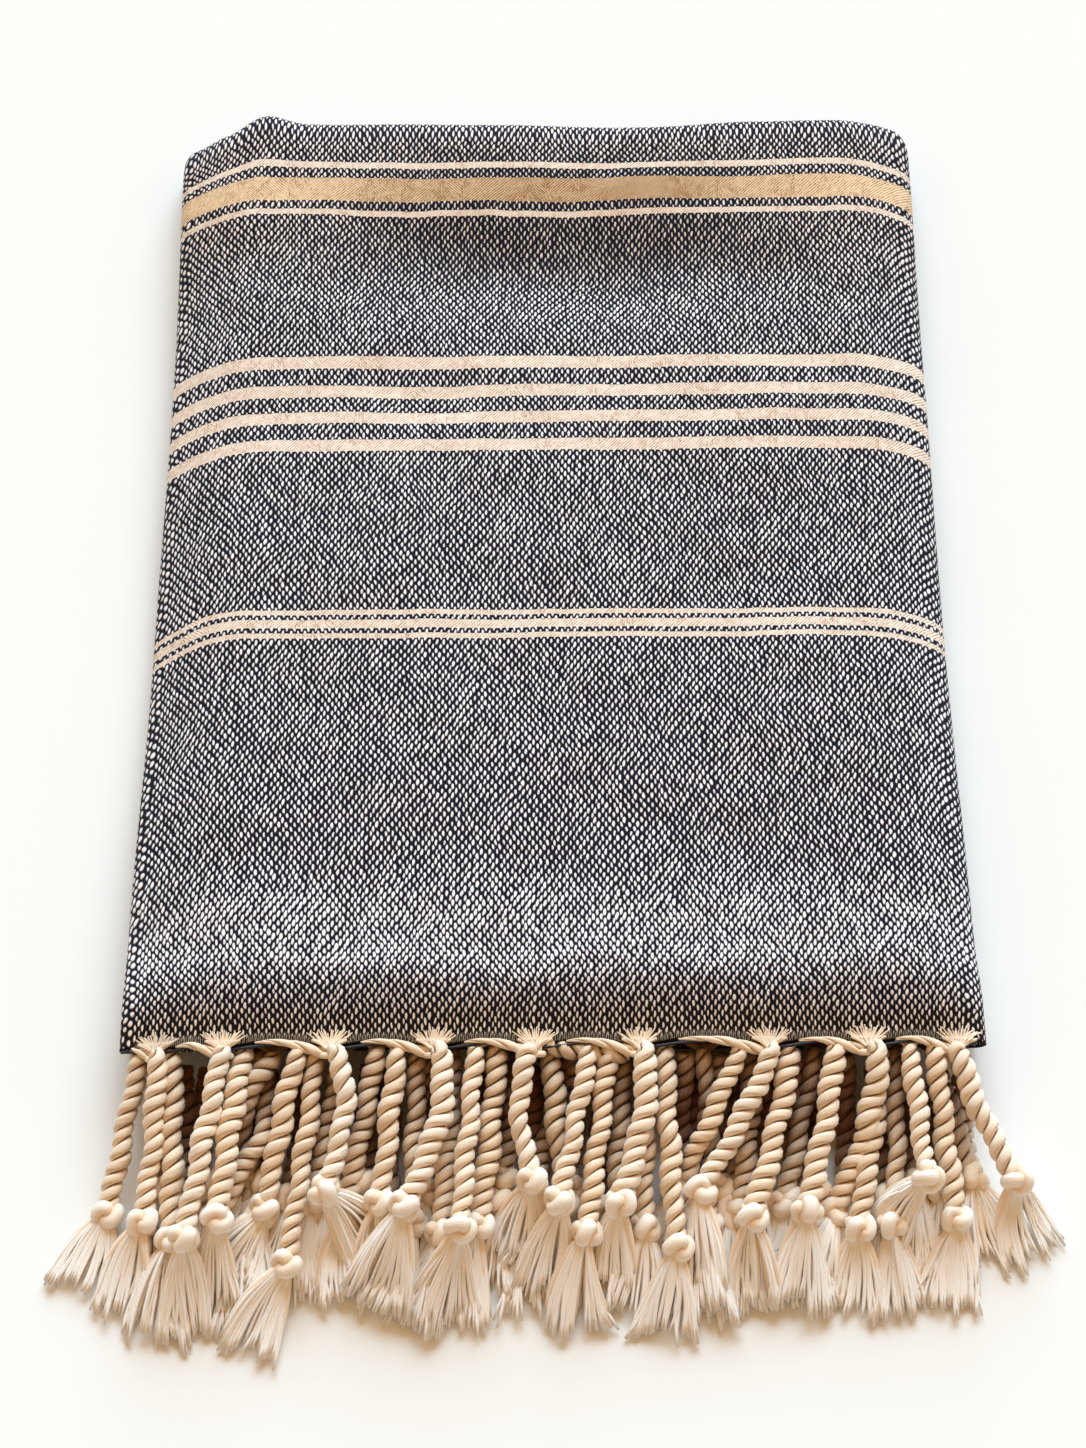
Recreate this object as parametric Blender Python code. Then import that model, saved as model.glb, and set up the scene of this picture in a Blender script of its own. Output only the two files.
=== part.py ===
"""A hammam towel, folded into a stack of twelve layers, with a knotted cord fringe.

Metres, +Z up. The stack lies flat on Z = 0, its fringed hems towards -Y and its last fold towards +Y.
The origin lies on the flat underside, near its middle. Lengths along the stack are counted from the
hem, so a point's Y is its length along the stack less the origin's.
"""
from collections import namedtuple
import math

import bmesh
import bpy
import numpy as np

MM = 0.001
TINY = 1e-12

# ---------------------------------------------------------------- driving sizes
STACK_WIDTH = 0.336
STACK_LENGTH = 0.4585
ORIGIN_FROM_HEM = 0.2275
CLOTH_THICK = 0.0019
LAYER_GAP = 0.0013
SET_BACK_OF_HALF_FOLD = 0.0105      # the first fold stops this far short of the hem
ROLL_LEFT = 0.044                   # width of the soft roll along the left side
ROLL_RIGHT = 0.036
THIN_LEFT = 0.55                    # how far the stack is pressed at the left side
THIN_RIGHT = 0.80
BOW_LEFT = 0.0025                   # the weft lags towards the hem at the left side
FLAP_SHORT = 0.002                  # each flap stops this far short of the other side's roll
FAR_REACH_START = 0.410             # where along the stack the last fold's uneven line begins to show

PIECE_GAP = 0.0003
EDGE_STRIP_DEPTH = 0.0027
EDGE_STRIP_HEIGHT = 0.0022
ROOT_WIDTH = 0.0050

ROPE_RADIUS = 0.0041
SOLID_SHARE = 0.96                  # of the radius that the strands keep clear of each other
ROPE_POINTS = 12                    # its root, its rings, and the middle of its knot
TWIST_STEP = math.radians(35.0)
KNOT_RADIUS = 0.0064
KNOT_HALF_LENGTH = 0.0045
KNOT_END_WIDTH = 0.0098
KNOT_END_HEIGHT = 0.0030
LOCK_RADIUS = 0.0021
LOCK_POINTS = 4                     # its root in the knot's end, and its rings
LOCK_TAPER = (1.0, 0.96, 1.0, 0.6)
TASSEL_SPREAD = 0.026
LOCK_SPREADS = (-1.0, -0.33, 0.33, 1.0)
ROOT_SHARES = (0.30, 0.38, 0.75, 1.0)                # of the rope's radius, at its first points
KNOT_RINGS = ((-0.55, 0.92), (0.35, 0.96))           # of its half-length, and of its radius
ROOT_REACH = 0.0015                 # the cord leaves its strip straight for this far

# How the cords are laid out, and how they settle from there.
ROW_STEP = 0.003                    # each row starts out this far above the next
BOW_OUT = 0.004                     # a cord starts out bowed forwards and upwards
BOW_UP = 0.003
LOCK_FAN = 0.3                      # of the tassel's spread, how far its locks bow apart
SETTLE_ROUNDS = 26
SETTLE_PASSES = 40
EASING_ROUNDS = 15.6                # after these, nothing but contact and length moves a cord
FALL = 0.00035
PULL_BACK = 0.06                    # the share of its way back to its laid-out place
STIFFNESS = 0.15
GIVE = 0.6
NEAR = 0.002                        # stretches this far apart are still watched
NEIGHBOURS = 4                      # stretches this many places apart on one cord may touch

# ---------------------------------------------------------------- what follows from them
TWO = 2 * CLOTH_THICK + LAYER_GAP                   # the sheet folded once
SIX = 3 * TWO + 2 * LAYER_GAP                       # then in thirds
TWELVE = 2 * SIX + LAYER_GAP                        # then once more
LEFT_FOLD = -STACK_WIDTH / 2 + LAYER_GAP / 2 + TWO
RIGHT_FOLD = STACK_WIDTH / 2 - 1.5 * TWO - LAYER_GAP
FAR_FOLD = STACK_LENGTH - LAYER_GAP / 2 - SIX
LEFT_TURN = math.pi * (LAYER_GAP + TWO) / 2         # cloth taken up by each fold
RIGHT_TURN = math.pi * (2 * LAYER_GAP + 2 * TWO) / 2
FAR_TURN = math.pi * (LAYER_GAP + SIX) / 2
HALF_TURN = math.pi * (LAYER_GAP + CLOTH_THICK) / 2
LEFT_ROLL_LINE = -STACK_WIDTH / 2 + ROLL_LEFT
RIGHT_ROLL_LINE = STACK_WIDTH / 2 - ROLL_RIGHT
HALF_FOLD = 2 * FAR_FOLD + FAR_TURN - SET_BACK_OF_HALF_FOLD
HEM_STEP = 0.0005                                   # each hem lies this far behind the one above it
SHEET_LENGTH = 2 * HALF_FOLD + HALF_TURN - HEM_STEP
LEFT_FLAP = RIGHT_ROLL_LINE - LEFT_FOLD - FLAP_SHORT
RIGHT_FLAP = RIGHT_FOLD - LEFT_ROLL_LINE - FLAP_SHORT
MIDDLE_START = LEFT_FLAP + LEFT_TURN
MIDDLE_END = MIDDLE_START + RIGHT_FOLD - LEFT_FOLD
SHEET_WIDTH = MIDDLE_END + RIGHT_TURN + RIGHT_FLAP
LOCK_CELL = KNOT_END_WIDTH / len(LOCK_SPREADS)      # each lock's share of the knot's flat end

# How much of the sides' roll there is along the stack, and how far the sides are drawn in.
SideRoll = namedtuple("SideRoll", "length left right left_in right_in")
SIDE_ROLLS = [
    SideRoll(0.000, 0.22, 0.25, 0.0000, 0.0000),
    SideRoll(0.060, 0.62, 0.60, 0.0000, 0.0014),
    SideRoll(0.190, 1.00, 1.00, 0.0014, 0.0022),
    SideRoll(0.320, 0.82, 0.75, 0.0028, 0.0018),
    SideRoll(0.455, 0.60, 0.62, 0.0014, 0.0006),
]

# How far the last fold's crease stands beyond its even line, from the left to the right.
FarReach = namedtuple("FarReach", "x out")
FAR_REACHES = [
    FarReach(-0.162, -0.0080),
    FarReach(-0.147, -0.0030),
    FarReach(-0.129, 0.0065),
    FarReach(-0.110, 0.0010),
    FarReach(-0.020, 0.0000),
    FarReach(0.050, -0.0024),
    FarReach(0.095, 0.0024),
    FarReach(0.168, 0.0014),
]

# Soft troughs and ridges of the pressed stack: middle, half-widths, height at the top layer.
Swell = namedtuple("Swell", "x length reach_x reach_length height")
SWELLS = [
    Swell(0.000, -0.004, 0.500, 0.024, -0.0052),    # rolls down to the hem
    Swell(-0.010, 0.055, 0.190, 0.030, 0.0014),
    Swell(0.020, 0.250, 0.150, 0.030, -0.0013),
    Swell(0.060, 0.340, 0.120, 0.028, 0.0012),
    Swell(-0.030, 0.380, 0.110, 0.026, -0.0020),
]

# The fringe. Hem rows are counted from the top; sizes in millimetres, out = beyond the hem.
Cord = namedtuple("Cord", "row x bend knot_x knot_out tip_x tip_out")
CORDS = [
    Cord(1, -153, 2, -160, 52, -160, 88),
    Cord(1, -127, 0, -137, 61, -139, 97),
    Cord(1, -86, 7, -84, 46, -62, 72),
    Cord(1, -46, 7, -55, 52, -69, 88),
    Cord(1, -7, -6, -8, 41, -13, 73),
    Cord(1, 33, 5, 22, 50, 18, 83),
    Cord(1, 83, 2, 62, 49, 50, 84),
    Cord(1, 121, 7, 108, 51, 90, 76),
    Cord(1, 156, -2, 171, 40, 182, 72),
    Cord(2, -98, -4, -108, 47, -126, 78),
    Cord(2, -60, -1, -70, 47, -62, 80),
    Cord(2, -30, 0, -40, 58, -45, 94),
    Cord(2, 13, 3, 1, 50, -4, 86),
    Cord(2, 71, 2, 50, 46, 35, 80),
    Cord(2, 108, 4, 98, 52, 91, 90),
    Cord(2, 137, 1, 141, 45, 124, 73),
    Cord(2, 147, -2, 153, 55, 148, 90),
    Cord(3, -160, 1, -172, 50, -180, 82),
    Cord(3, -147, 1, -149, 66, -149, 105),
    Cord(3, -119, 2, -130, 57, -131, 92),
    Cord(3, -92, 3, -104, 71, -117, 106),
    Cord(3, -68, -2, -75, 54, -79, 90),
    Cord(3, -22, 3, -32, 55, -37, 93),
    Cord(3, 21, 1, 9, 60, 8, 98),
    Cord(3, 43, 0, 45, 66, 41, 101),
    Cord(3, 91, 3, 77, 58, 72, 94),
    Cord(4, -108, -6, -118, 40, -121, 74),
    Cord(4, -82, -1, -93, 46, -96, 81),
    Cord(4, -53, 2, -63, 61, -61, 99),
    Cord(4, -1, 0, -4, 46, -9, 80),
    Cord(4, 35, 1, 33, 56, 29, 91),
    Cord(4, 58, 0, 58, 63, 60, 99),
    Cord(4, 126, 4, 116, 58, 112, 92),
    Cord(5, -114, 0, -124, 58, -127, 92),
    Cord(5, -39, 1, -48, 70, -57, 107),
    Cord(5, 27, 1, 19, 54, 17, 88),
    Cord(5, 77, 1, 72, 55, 67, 90),
    Cord(5, 101, 0, 88, 51, 85, 87),
    Cord(5, 132, 0, 131, 62, 128, 97),
    Cord(6, -14, -1, -24, 42, -28, 76),
    Cord(6, 6, -5, -6, 47, -9, 84),
    Cord(6, 148, -1, 161, 40, 168, 72),
]

# Which of the sheet's six hem lengths each row hangs from: its share of the width, and which end.
HemRow = namedtuple("HemRow", "panel far_end")
HEM_ROWS = {
    1: HemRow("middle", False),
    2: HemRow("middle", True),
    3: HemRow("left flap", True),
    4: HemRow("left flap", False),
    5: HemRow("right flap", True),
    6: HemRow("right flap", False),
}


# ---------------------------------------------------------------- the folded sheet
def turn_under(past, height, clear, slab):
    """Fold a slab under itself: past its fold line, height up in it, clear = room inside the fold.

    Gives how far along it lies, its height from the fold's middle, and the angle turned."""
    radius = clear / 2 + height
    neutral = (clear + slab) / 2
    angle = min(max(past / neutral, 0.0), math.pi)
    beyond = max(past - math.pi * neutral, 0.0)
    along = min(past, 0.0) + radius * math.sin(angle) - beyond
    return along, radius * math.cos(angle), angle


def bend_line(value, lines, shares):
    """A share read off a soft curve through a few stations."""
    value = min(max(value, lines[0]), lines[-1])
    for start, end, low, high in zip(lines, lines[1:], shares, shares[1:]):
        if value <= end:
            step = (value - start) / (end - start)
            return low + (high - low) * step * step * (3 - 2 * step)
    return shares[-1]


def side_rolls(x, length):
    """The roll down at the left and right sides, each from 0 to 1 at this place."""
    lines = [roll.length for roll in SIDE_ROLLS]
    left = max(LEFT_ROLL_LINE - x, 0.0) / ROLL_LEFT
    right = max(x - RIGHT_ROLL_LINE, 0.0) / ROLL_RIGHT
    left_share = bend_line(length, lines, [roll.left for roll in SIDE_ROLLS])
    right_share = bend_line(length, lines, [roll.right for roll in SIDE_ROLLS])
    return left_share * left * left, right_share * right * right


def drawn_in(x, length):
    """How far a point moves towards the middle, where the sides are drawn in."""
    lines = [roll.length for roll in SIDE_ROLLS]
    moved = [roll.left_in if x < 0 else -roll.right_in for roll in SIDE_ROLLS]
    return bend_line(length, lines, moved) * min(abs(x) / (STACK_WIDTH / 2), 1.0)


def far_reach(x, length):
    """How far the top of the last fold stands beyond its even line."""
    out = bend_line(x, [reach.x for reach in FAR_REACHES], [reach.out for reach in FAR_REACHES])
    return out * bend_line(length, (FAR_REACH_START, STACK_LENGTH), (0.0, 1.0))


def swell(x, length):
    """How far the top layer stands above its even height."""
    return sum(
        s.height * math.exp(-((x - s.x) / s.reach_x) ** 2 - ((length - s.length) / s.reach_length) ** 2)
        for s in SWELLS
    )


def sheet_point(across, along, height):
    """Where a point of the flat sheet lies in the folded stack.

    across and along run over the flat sheet; height is up from its underside."""
    left_turned = min(max((MIDDLE_START - across) / LEFT_TURN, 0.0), 1.0)
    right_turned = min(max((across - MIDDLE_END) / RIGHT_TURN, 0.0), 1.0)
    set_back = (2 * left_turned + 4 * right_turned) * HEM_STEP
    gone, level, _ = turn_under(along - HALF_FOLD, height, LAYER_GAP, CLOTH_THICK)
    length = HALF_FOLD + gone + set_back
    level += CLOTH_THICK + LAYER_GAP / 2

    deep = 0.0
    if across < MIDDLE_START:
        gone, level, _ = turn_under(MIDDLE_START - across, level, LAYER_GAP, TWO)
        x = LEFT_FOLD - gone
        level += 2 * TWO + 1.5 * LAYER_GAP
    elif across > MIDDLE_END:
        gone, level, angle = turn_under(across - MIDDLE_END, level, TWO + 2 * LAYER_GAP, TWO)
        x = RIGHT_FOLD + gone
        level += 1.5 * TWO + LAYER_GAP
        deep = (1 - math.cos(angle)) / 2
    else:
        x = LEFT_FOLD + across - MIDDLE_START
        level += 2 * TWO + 2 * LAYER_GAP

    gone, level, angle = turn_under(length - FAR_FOLD, level, LAYER_GAP, SIX)
    length = FAR_FOLD + gone
    level += SIX + LAYER_GAP / 2

    # No flap reaches the sides, so the layers above close down there, and the stack is pressed.
    left, right = side_rolls(x, length)
    above = (1 + math.cos(angle)) / 2
    level -= (TWO + LAYER_GAP) * 2 * above * min(left, 1.0)
    level -= (TWO + LAYER_GAP) * ((1 - deep) * 2 * above + deep) * min(right, 1.0)
    press = 1 - (1 - THIN_LEFT) * left - (1 - THIN_RIGHT) * right + swell(x, length) / TWELVE
    y = length + far_reach(x, length) * above - BOW_LEFT * left - ORIGIN_FROM_HEM
    return x + drawn_in(x, length), y, level * press


def stations(*stretches):
    """Stations along a direction, from (start, end, steps) stretches that join up."""
    values = [stretches[0][0]]
    for start, end, steps in stretches:
        values += [start + (end - start) * (k + 1) / steps for k in range(steps)]
    return values


def across_stations():
    left_flap_roll = MIDDLE_START - LEFT_TURN - (LEFT_ROLL_LINE - LEFT_FOLD)
    middle_left_roll = MIDDLE_START + LEFT_ROLL_LINE - LEFT_FOLD
    middle_right_roll = MIDDLE_END - RIGHT_FOLD + RIGHT_ROLL_LINE
    right_flap_roll = MIDDLE_END + RIGHT_TURN + RIGHT_FOLD - RIGHT_ROLL_LINE
    return stations(
        (0.0, left_flap_roll, 3),
        (left_flap_roll, MIDDLE_START - LEFT_TURN, 2),
        (MIDDLE_START - LEFT_TURN, MIDDLE_START, 4),
        (MIDDLE_START, middle_left_roll, 2),
        (middle_left_roll, middle_right_roll, 3),
        (middle_right_roll, MIDDLE_END, 2),
        (MIDDLE_END, MIDDLE_END + RIGHT_TURN, 5),
        (MIDDLE_END + RIGHT_TURN, right_flap_roll, 2),
        (right_flap_roll, SHEET_WIDTH, 3),
    )


def along_stations():
    """Both halves of the sheet share their stations, so that layers lie parallel."""
    near_hem = 0.060
    half = stations(
        (0.0, near_hem, 2),
        (near_hem, FAR_FOLD, 4),
        (FAR_FOLD, FAR_FOLD + FAR_TURN, 6),
        (FAR_FOLD + FAR_TURN, FAR_FOLD + FAR_TURN + FAR_FOLD - near_hem, 4),
        (2 * FAR_FOLD + FAR_TURN - near_hem, HALF_FOLD, 1),
    )
    turn = stations((HALF_FOLD, HALF_FOLD + HALF_TURN, 4))
    other_half = [2 * HALF_FOLD + HALF_TURN - value for value in reversed(half)]
    return half + turn[1:] + other_half[1:-1] + [SHEET_LENGTH]


def make_cloth():
    """The one sheet, folded in half, in thirds and in half again."""
    shape = bmesh.new()
    across, along = across_stations(), along_stations()
    faces = []
    for height in (0.0, CLOTH_THICK):
        grid = [[shape.verts.new(sheet_point(a, b, height)) for b in along] for a in across]
        faces.append(grid)
    under, upper = faces
    for i in range(len(across) - 1):
        for j in range(len(along) - 1):
            shape.faces.new((upper[i][j], upper[i + 1][j], upper[i + 1][j + 1], upper[i][j + 1]))
            shape.faces.new((under[i][j], under[i][j + 1], under[i + 1][j + 1], under[i + 1][j]))
    for j in range(len(along) - 1):
        shape.faces.new((under[0][j], upper[0][j], upper[0][j + 1], under[0][j + 1]))
        shape.faces.new((under[-1][j + 1], upper[-1][j + 1], upper[-1][j], under[-1][j]))
    for i in range(len(across) - 1):
        shape.faces.new((under[i + 1][0], upper[i + 1][0], upper[i][0], under[i][0]))
        shape.faces.new((under[i][-1], upper[i][-1], upper[i + 1][-1], under[i + 1][-1]))
    return shape


# ---------------------------------------------------------------- the fringe's lie
def hem_place(row, x, out, height):
    """A point on the hem's line of a row, out beyond the hem and height up in the sheet."""
    panel, far_end = HEM_ROWS[row]
    if panel == "middle":
        across = MIDDLE_START + x - LEFT_FOLD
    elif panel == "left flap":
        across = MIDDLE_START - LEFT_TURN - (x - LEFT_FOLD)
    else:
        across = MIDDLE_END + RIGHT_TURN + RIGHT_FOLD - x
    along = SHEET_LENGTH + out if far_end else -out
    return np.array(sheet_point(across, along, height))


def lay_out(cord):
    """A cord's points before it settles: the rope's, ending in the knot, then each lock's."""
    front = -ORIGIN_FROM_HEM
    root = hem_place(cord.row, cord.x * MM, EDGE_STRIP_DEPTH + PIECE_GAP, CLOTH_THICK / 2)
    above_floor = KNOT_RADIUS + (len(HEM_ROWS) - cord.row) * ROW_STEP
    knot = np.array((cord.knot_x * MM, front - cord.knot_out * MM, above_floor))
    tip = np.array((cord.tip_x * MM, front - cord.tip_out * MM, 2 * LOCK_RADIUS))
    middle = (root + knot) / 2 + np.array((2 * cord.bend * MM, -BOW_OUT, BOW_UP))
    start = np.array((root[0], front - EDGE_STRIP_DEPTH - PIECE_GAP - ROOT_REACH, root[2]))
    steps = np.linspace(0, 1, ROPE_POINTS - 1)[:, None]
    rope = (1 - steps) ** 2 * start + 2 * steps * (1 - steps) * middle + steps ** 2 * knot
    rope = np.concatenate([root[None], rope])
    heading = (tip - knot) * (1, 1, 0)
    heading /= np.linalg.norm(heading)
    side = np.array((-heading[1], heading[0], 0.0))
    reach = np.linspace(0, 1, LOCK_POINTS)[:, None]
    locks = []
    for spread in LOCK_SPREADS:
        first = knot + heading * KNOT_HALF_LENGTH + side * spread * 1.5 * LOCK_CELL
        end = tip + side * spread * TASSEL_SPREAD / 2
        fan = side * (1 - reach) * reach * spread * TASSEL_SPREAD * LOCK_FAN
        locks.append(first + (end - first) * reach + fan)
    return rope, np.array(locks)


def across_and_up(heading):
    """The two directions square to a heading: across to +X, and up from there."""
    side = np.array((1.0, 0.0, 0.0)) - heading[..., :1] * heading
    side /= np.linalg.norm(side, axis=-1, keepdims=True)
    return side, np.cross(heading, side)


def knot_frame(knots, locks):
    """The way a tassel leaves its knot, and the way its locks lie side by side, both square."""
    aim = locks[..., 1, :].mean(-2) - knots
    aim /= np.linalg.norm(aim, axis=-1, keepdims=True)
    side = locks[..., -1, 1, :] - locks[..., 0, 1, :]
    side = side - aim * (side * aim).sum(-1, keepdims=True)
    return aim, side / np.linalg.norm(side, axis=-1, keepdims=True)


def knot_ends(knots, locks):
    """Where each lock leaves its knot: side by side across the knot's flat end."""
    aim, side = knot_frame(knots, locks)
    return np.stack([knots + aim * KNOT_HALF_LENGTH + side * spread * 1.5 * LOCK_CELL
                     for spread in LOCK_SPREADS], 1)


def nearest_shares(start_a, line_a, start_b, line_b):
    """Where two straight stretches come nearest, as a share of each."""
    between = start_a - start_b
    aa, bb = (line_a ** 2).sum(1), (line_b ** 2).sum(1)
    ab, a_between, b_between = (line_a * line_b).sum(1), (line_a * between).sum(1), (line_b * between).sum(1)
    on_a = np.clip((ab * b_between - a_between * bb) / np.maximum(aa * bb - ab ** 2, TINY), 0, 1)
    on_b = np.clip((ab * on_a + b_between) / np.maximum(bb, TINY), 0, 1)
    return np.clip((ab * on_b - a_between) / np.maximum(aa, TINY), 0, 1), on_b


def stretches_of(rope_ids, lock_ids):
    """Each straight stretch: its two points, its cord, its strand, and its place along the cord.

    The knot is one more, of no length."""
    count = len(rope_ids)
    found = []
    for k in range(ROPE_POINTS - 1):
        found.append((rope_ids[:, k], rope_ids[:, k + 1], np.arange(count), np.zeros(count, int), k))
    for strand in range(len(LOCK_SPREADS)):
        for k in range(LOCK_POINTS - 1):
            ids = lock_ids[:, strand]
            place = ROPE_POINTS - 1 + 2 * k
            found.append((ids[:, k], ids[:, k + 1], np.arange(count), np.full(count, strand + 1), place))
    found.append((rope_ids[:, -1], rope_ids[:, -1], np.arange(count), np.zeros(count, int), ROPE_POINTS - 1))
    return [np.concatenate([np.broadcast_to(column, count) for column in columns])
            for columns in zip(*found)]


def may_meet(points, radius, starts, ends, cord_of, strand_of, place):
    """Pairs of stretches that lie near enough to be kept apart, neighbours left out."""
    middle = (points[starts] + points[ends]) / 2
    reach = np.linalg.norm(points[starts] - points[ends], axis=1) / 2
    reach = reach + np.maximum(radius[starts], radius[ends]) + NEAR
    square = (middle ** 2).sum(1)
    apart = square[:, None] + square[None] - 2 * middle @ middle.T
    first, second = np.nonzero(np.triu(apart < (reach[:, None] + reach[None]) ** 2, 1))
    keep = cord_of[first] != cord_of[second]
    keep |= np.abs(place[first] - place[second]) >= NEIGHBOURS
    keep |= (strand_of[first] != strand_of[second]) & (np.minimum(strand_of[first], strand_of[second]) > 0)
    return first[keep], second[keep]


def settle(ropes, locks):
    """Let the cords down on the floor and on each other, as round stretches that keep apart."""
    points = np.concatenate([ropes.reshape(-1, 3), locks.reshape(-1, 3)])
    plan = points[:, :2].copy()
    rope_ids = np.arange(ropes.size // 3).reshape(ropes.shape[:2])
    lock_ids = rope_ids.size + np.arange(locks.size // 3).reshape(locks.shape[:3])
    knot_ids, root_ids = rope_ids[:, -1], lock_ids[:, :, 0]
    radius = np.full(len(points), LOCK_RADIUS)
    radius[rope_ids] = ROPE_RADIUS
    radius[knot_ids] = KNOT_RADIUS
    for k, share in enumerate(ROOT_SHARES):
        radius[rope_ids[:, k]] = share * ROPE_RADIUS
    among_siblings = radius.copy()
    among_siblings[root_ids] = LOCK_CELL / 2
    free = np.ones(len(points), bool)
    free[rope_ids[:, :2]] = False
    hangs = np.ones(len(points), bool)
    hangs[rope_ids[:, :3]] = False

    links = [np.stack([rope_ids[:, k], rope_ids[:, k + 1]], 1) for k in range(ROPE_POINTS - 1)]
    links += [np.stack([lock_ids[:, :, k].ravel(), lock_ids[:, :, k + 1].ravel()], 1)
              for k in range(LOCK_POINTS - 1)]
    lengths = [np.linalg.norm(points[a] - points[b], axis=1) for a, b in (link.T for link in links)]
    starts, ends, cord_of, strand_of, place = stretches_of(rope_ids, lock_ids)
    front = -ORIGIN_FROM_HEM - EDGE_STRIP_DEPTH - 3 * PIECE_GAP

    for turn in range(SETTLE_ROUNDS):
        easing = max(0.0, 1 - turn / EASING_ROUNDS)
        first, second = may_meet(points, radius, starts, ends, cord_of, strand_of, place)
        a0, a1, b0, b1 = starts[first], ends[first], starts[second], ends[second]
        thick = np.where(cord_of[first] == cord_of[second], among_siblings[[a0, a1, b0, b1]],
                         radius[[a0, a1, b0, b1]])
        # A cord takes the length of the way it finds, shared evenly among its stretches.
        way = np.linalg.norm(np.diff(points[rope_ids[:, 1:]], axis=1), axis=2).mean(1)
        for link in range(1, ROPE_POINTS - 1):
            lengths[link] = way
        for _ in range(SETTLE_PASSES):
            points[free, 2] -= FALL * easing
            points[free, :2] += (plan - points[:, :2])[free] * PULL_BACK * easing
            middle = (points[rope_ids[:, :-2]] + points[rope_ids[:, 2:]]) / 2
            points[rope_ids[:, 2:-1]] += (middle - points[rope_ids[:, 1:-1]])[:, 1:] * STIFFNESS
            for link, length in zip(links, lengths):
                a, b = link.T
                line = points[b] - points[a]
                stretch = np.linalg.norm(line, axis=1)
                shift = line * ((stretch - length) / np.maximum(stretch, TINY) / 2)[:, None]
                points[a[free[a]]] += shift[free[a]]
                points[b[free[b]]] -= shift[free[b]]
            points[root_ids] = knot_ends(points[knot_ids], points[lock_ids])
            on_a, on_b = nearest_shares(points[a0], points[a1] - points[a0], points[b0], points[b1] - points[b0])
            at_a = points[a0] + (points[a1] - points[a0]) * on_a[:, None]
            at_b = points[b0] + (points[b1] - points[b0]) * on_b[:, None]
            touch = thick[0] + (thick[1] - thick[0]) * on_a + thick[2] + (thick[3] - thick[2]) * on_b
            line = at_b - at_a
            far = np.maximum(np.linalg.norm(line, axis=1), TINY)
            weight = (1 - on_a) ** 2 + on_a ** 2 + (1 - on_b) ** 2 + on_b ** 2
            push = line / far[:, None] * (np.maximum(touch - far, 0.0) / weight)[:, None]
            move = np.zeros_like(points)
            for ids, share in ((a0, on_a - 1), (a1, -on_a), (b0, 1 - on_b), (b1, on_b)):
                for axis in range(3):
                    move[:, axis] += np.bincount(ids, push[:, axis] * share, len(points))
            move[knot_ids] += move[root_ids].sum(1)
            points[free] += GIVE * move[free]
            points[:, 2] = np.maximum(points[:, 2], radius)
            points[hangs, 1] = np.minimum(points[hangs, 1], front - radius[hangs])
    points[root_ids] = knot_ends(points[knot_ids], points[lock_ids])
    return points[rope_ids], points[lock_ids]


# ---------------------------------------------------------------- the fringe's solids
def ring(centre, heading, radius, angle):
    """Four corners round a strand's middle, turned by an angle."""
    side, up = across_and_up(heading / np.linalg.norm(heading))
    corners = []
    for quarter in range(4):
        turned = angle + math.radians(225 + 90 * quarter)
        corners.append(centre + radius * (math.cos(turned) * side + math.sin(turned) * up))
    return corners


def heading_at(points, index):
    return points[min(index + 1, len(points) - 1)] - points[max(index - 1, 0)]


def add_ring(shape, corners):
    """New corners of a strand, none of them below the floor."""
    return [shape.verts.new((c[0], c[1], max(c[2], 0.0))) for c in corners]


def bridge(shape, ring_a, ring_b):
    for k in range(len(ring_a)):
        n = (k + 1) % len(ring_a)
        shape.faces.new((ring_a[k], ring_a[n], ring_b[n], ring_b[k]))


def add_rope(shape, last, points):
    """The twisted cord, from its root's corners to its knot."""
    for k in range(1, ROPE_POINTS - 1):
        radius = ROPE_RADIUS * SOLID_SHARE * (ROOT_SHARES[k] if k < len(ROOT_SHARES) else 1.0)
        turned = TWIST_STEP * (k - 1)
        corners = add_ring(shape, ring(points[k], heading_at(points, k), radius, turned))
        bridge(shape, last, corners)
        last = corners
    knot = points[-1]
    heading = points[-1] - points[-2]
    heading = heading / np.linalg.norm(heading)
    for along, share in KNOT_RINGS:
        turned += TWIST_STEP
        centre = knot + heading * KNOT_HALF_LENGTH * along
        corners = add_ring(shape, ring(centre, heading, KNOT_RADIUS * share, turned))
        bridge(shape, last, corners)
        last = corners
    return last, turned


def add_tassel(shape, last, turned, knot, locks):
    """The knot's flat end, and the locks side by side out of it."""
    aim, side = knot_frame(knot, locks)
    up = np.cross(aim, side)
    centre = knot + aim * KNOT_HALF_LENGTH
    places = np.linspace(-0.5, 0.5, len(LOCK_SPREADS) + 1) * KNOT_END_WIDTH
    low = add_ring(shape, [centre + side * place - up * KNOT_END_HEIGHT / 2 for place in places])
    high = add_ring(shape, [centre + side * place + up * KNOT_END_HEIGHT / 2 for place in places])
    level_side, level_up = across_and_up(aim)
    rolled = math.atan2(side @ level_up, side @ level_side)
    quarter = round((turned - rolled) / math.radians(90))
    last = [last[(corner - quarter) % 4] for corner in range(4)]
    shape.faces.new([last[0], last[1]] + low[::-1])
    shape.faces.new((last[1], last[2], high[-1], low[-1]))
    shape.faces.new([last[2], last[3]] + high)
    shape.faces.new((last[3], last[0], low[0], high[0]))
    for k, points in enumerate(locks):
        add_lock(shape, [low[k], low[k + 1], high[k + 1], high[k]], points, rolled)


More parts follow.
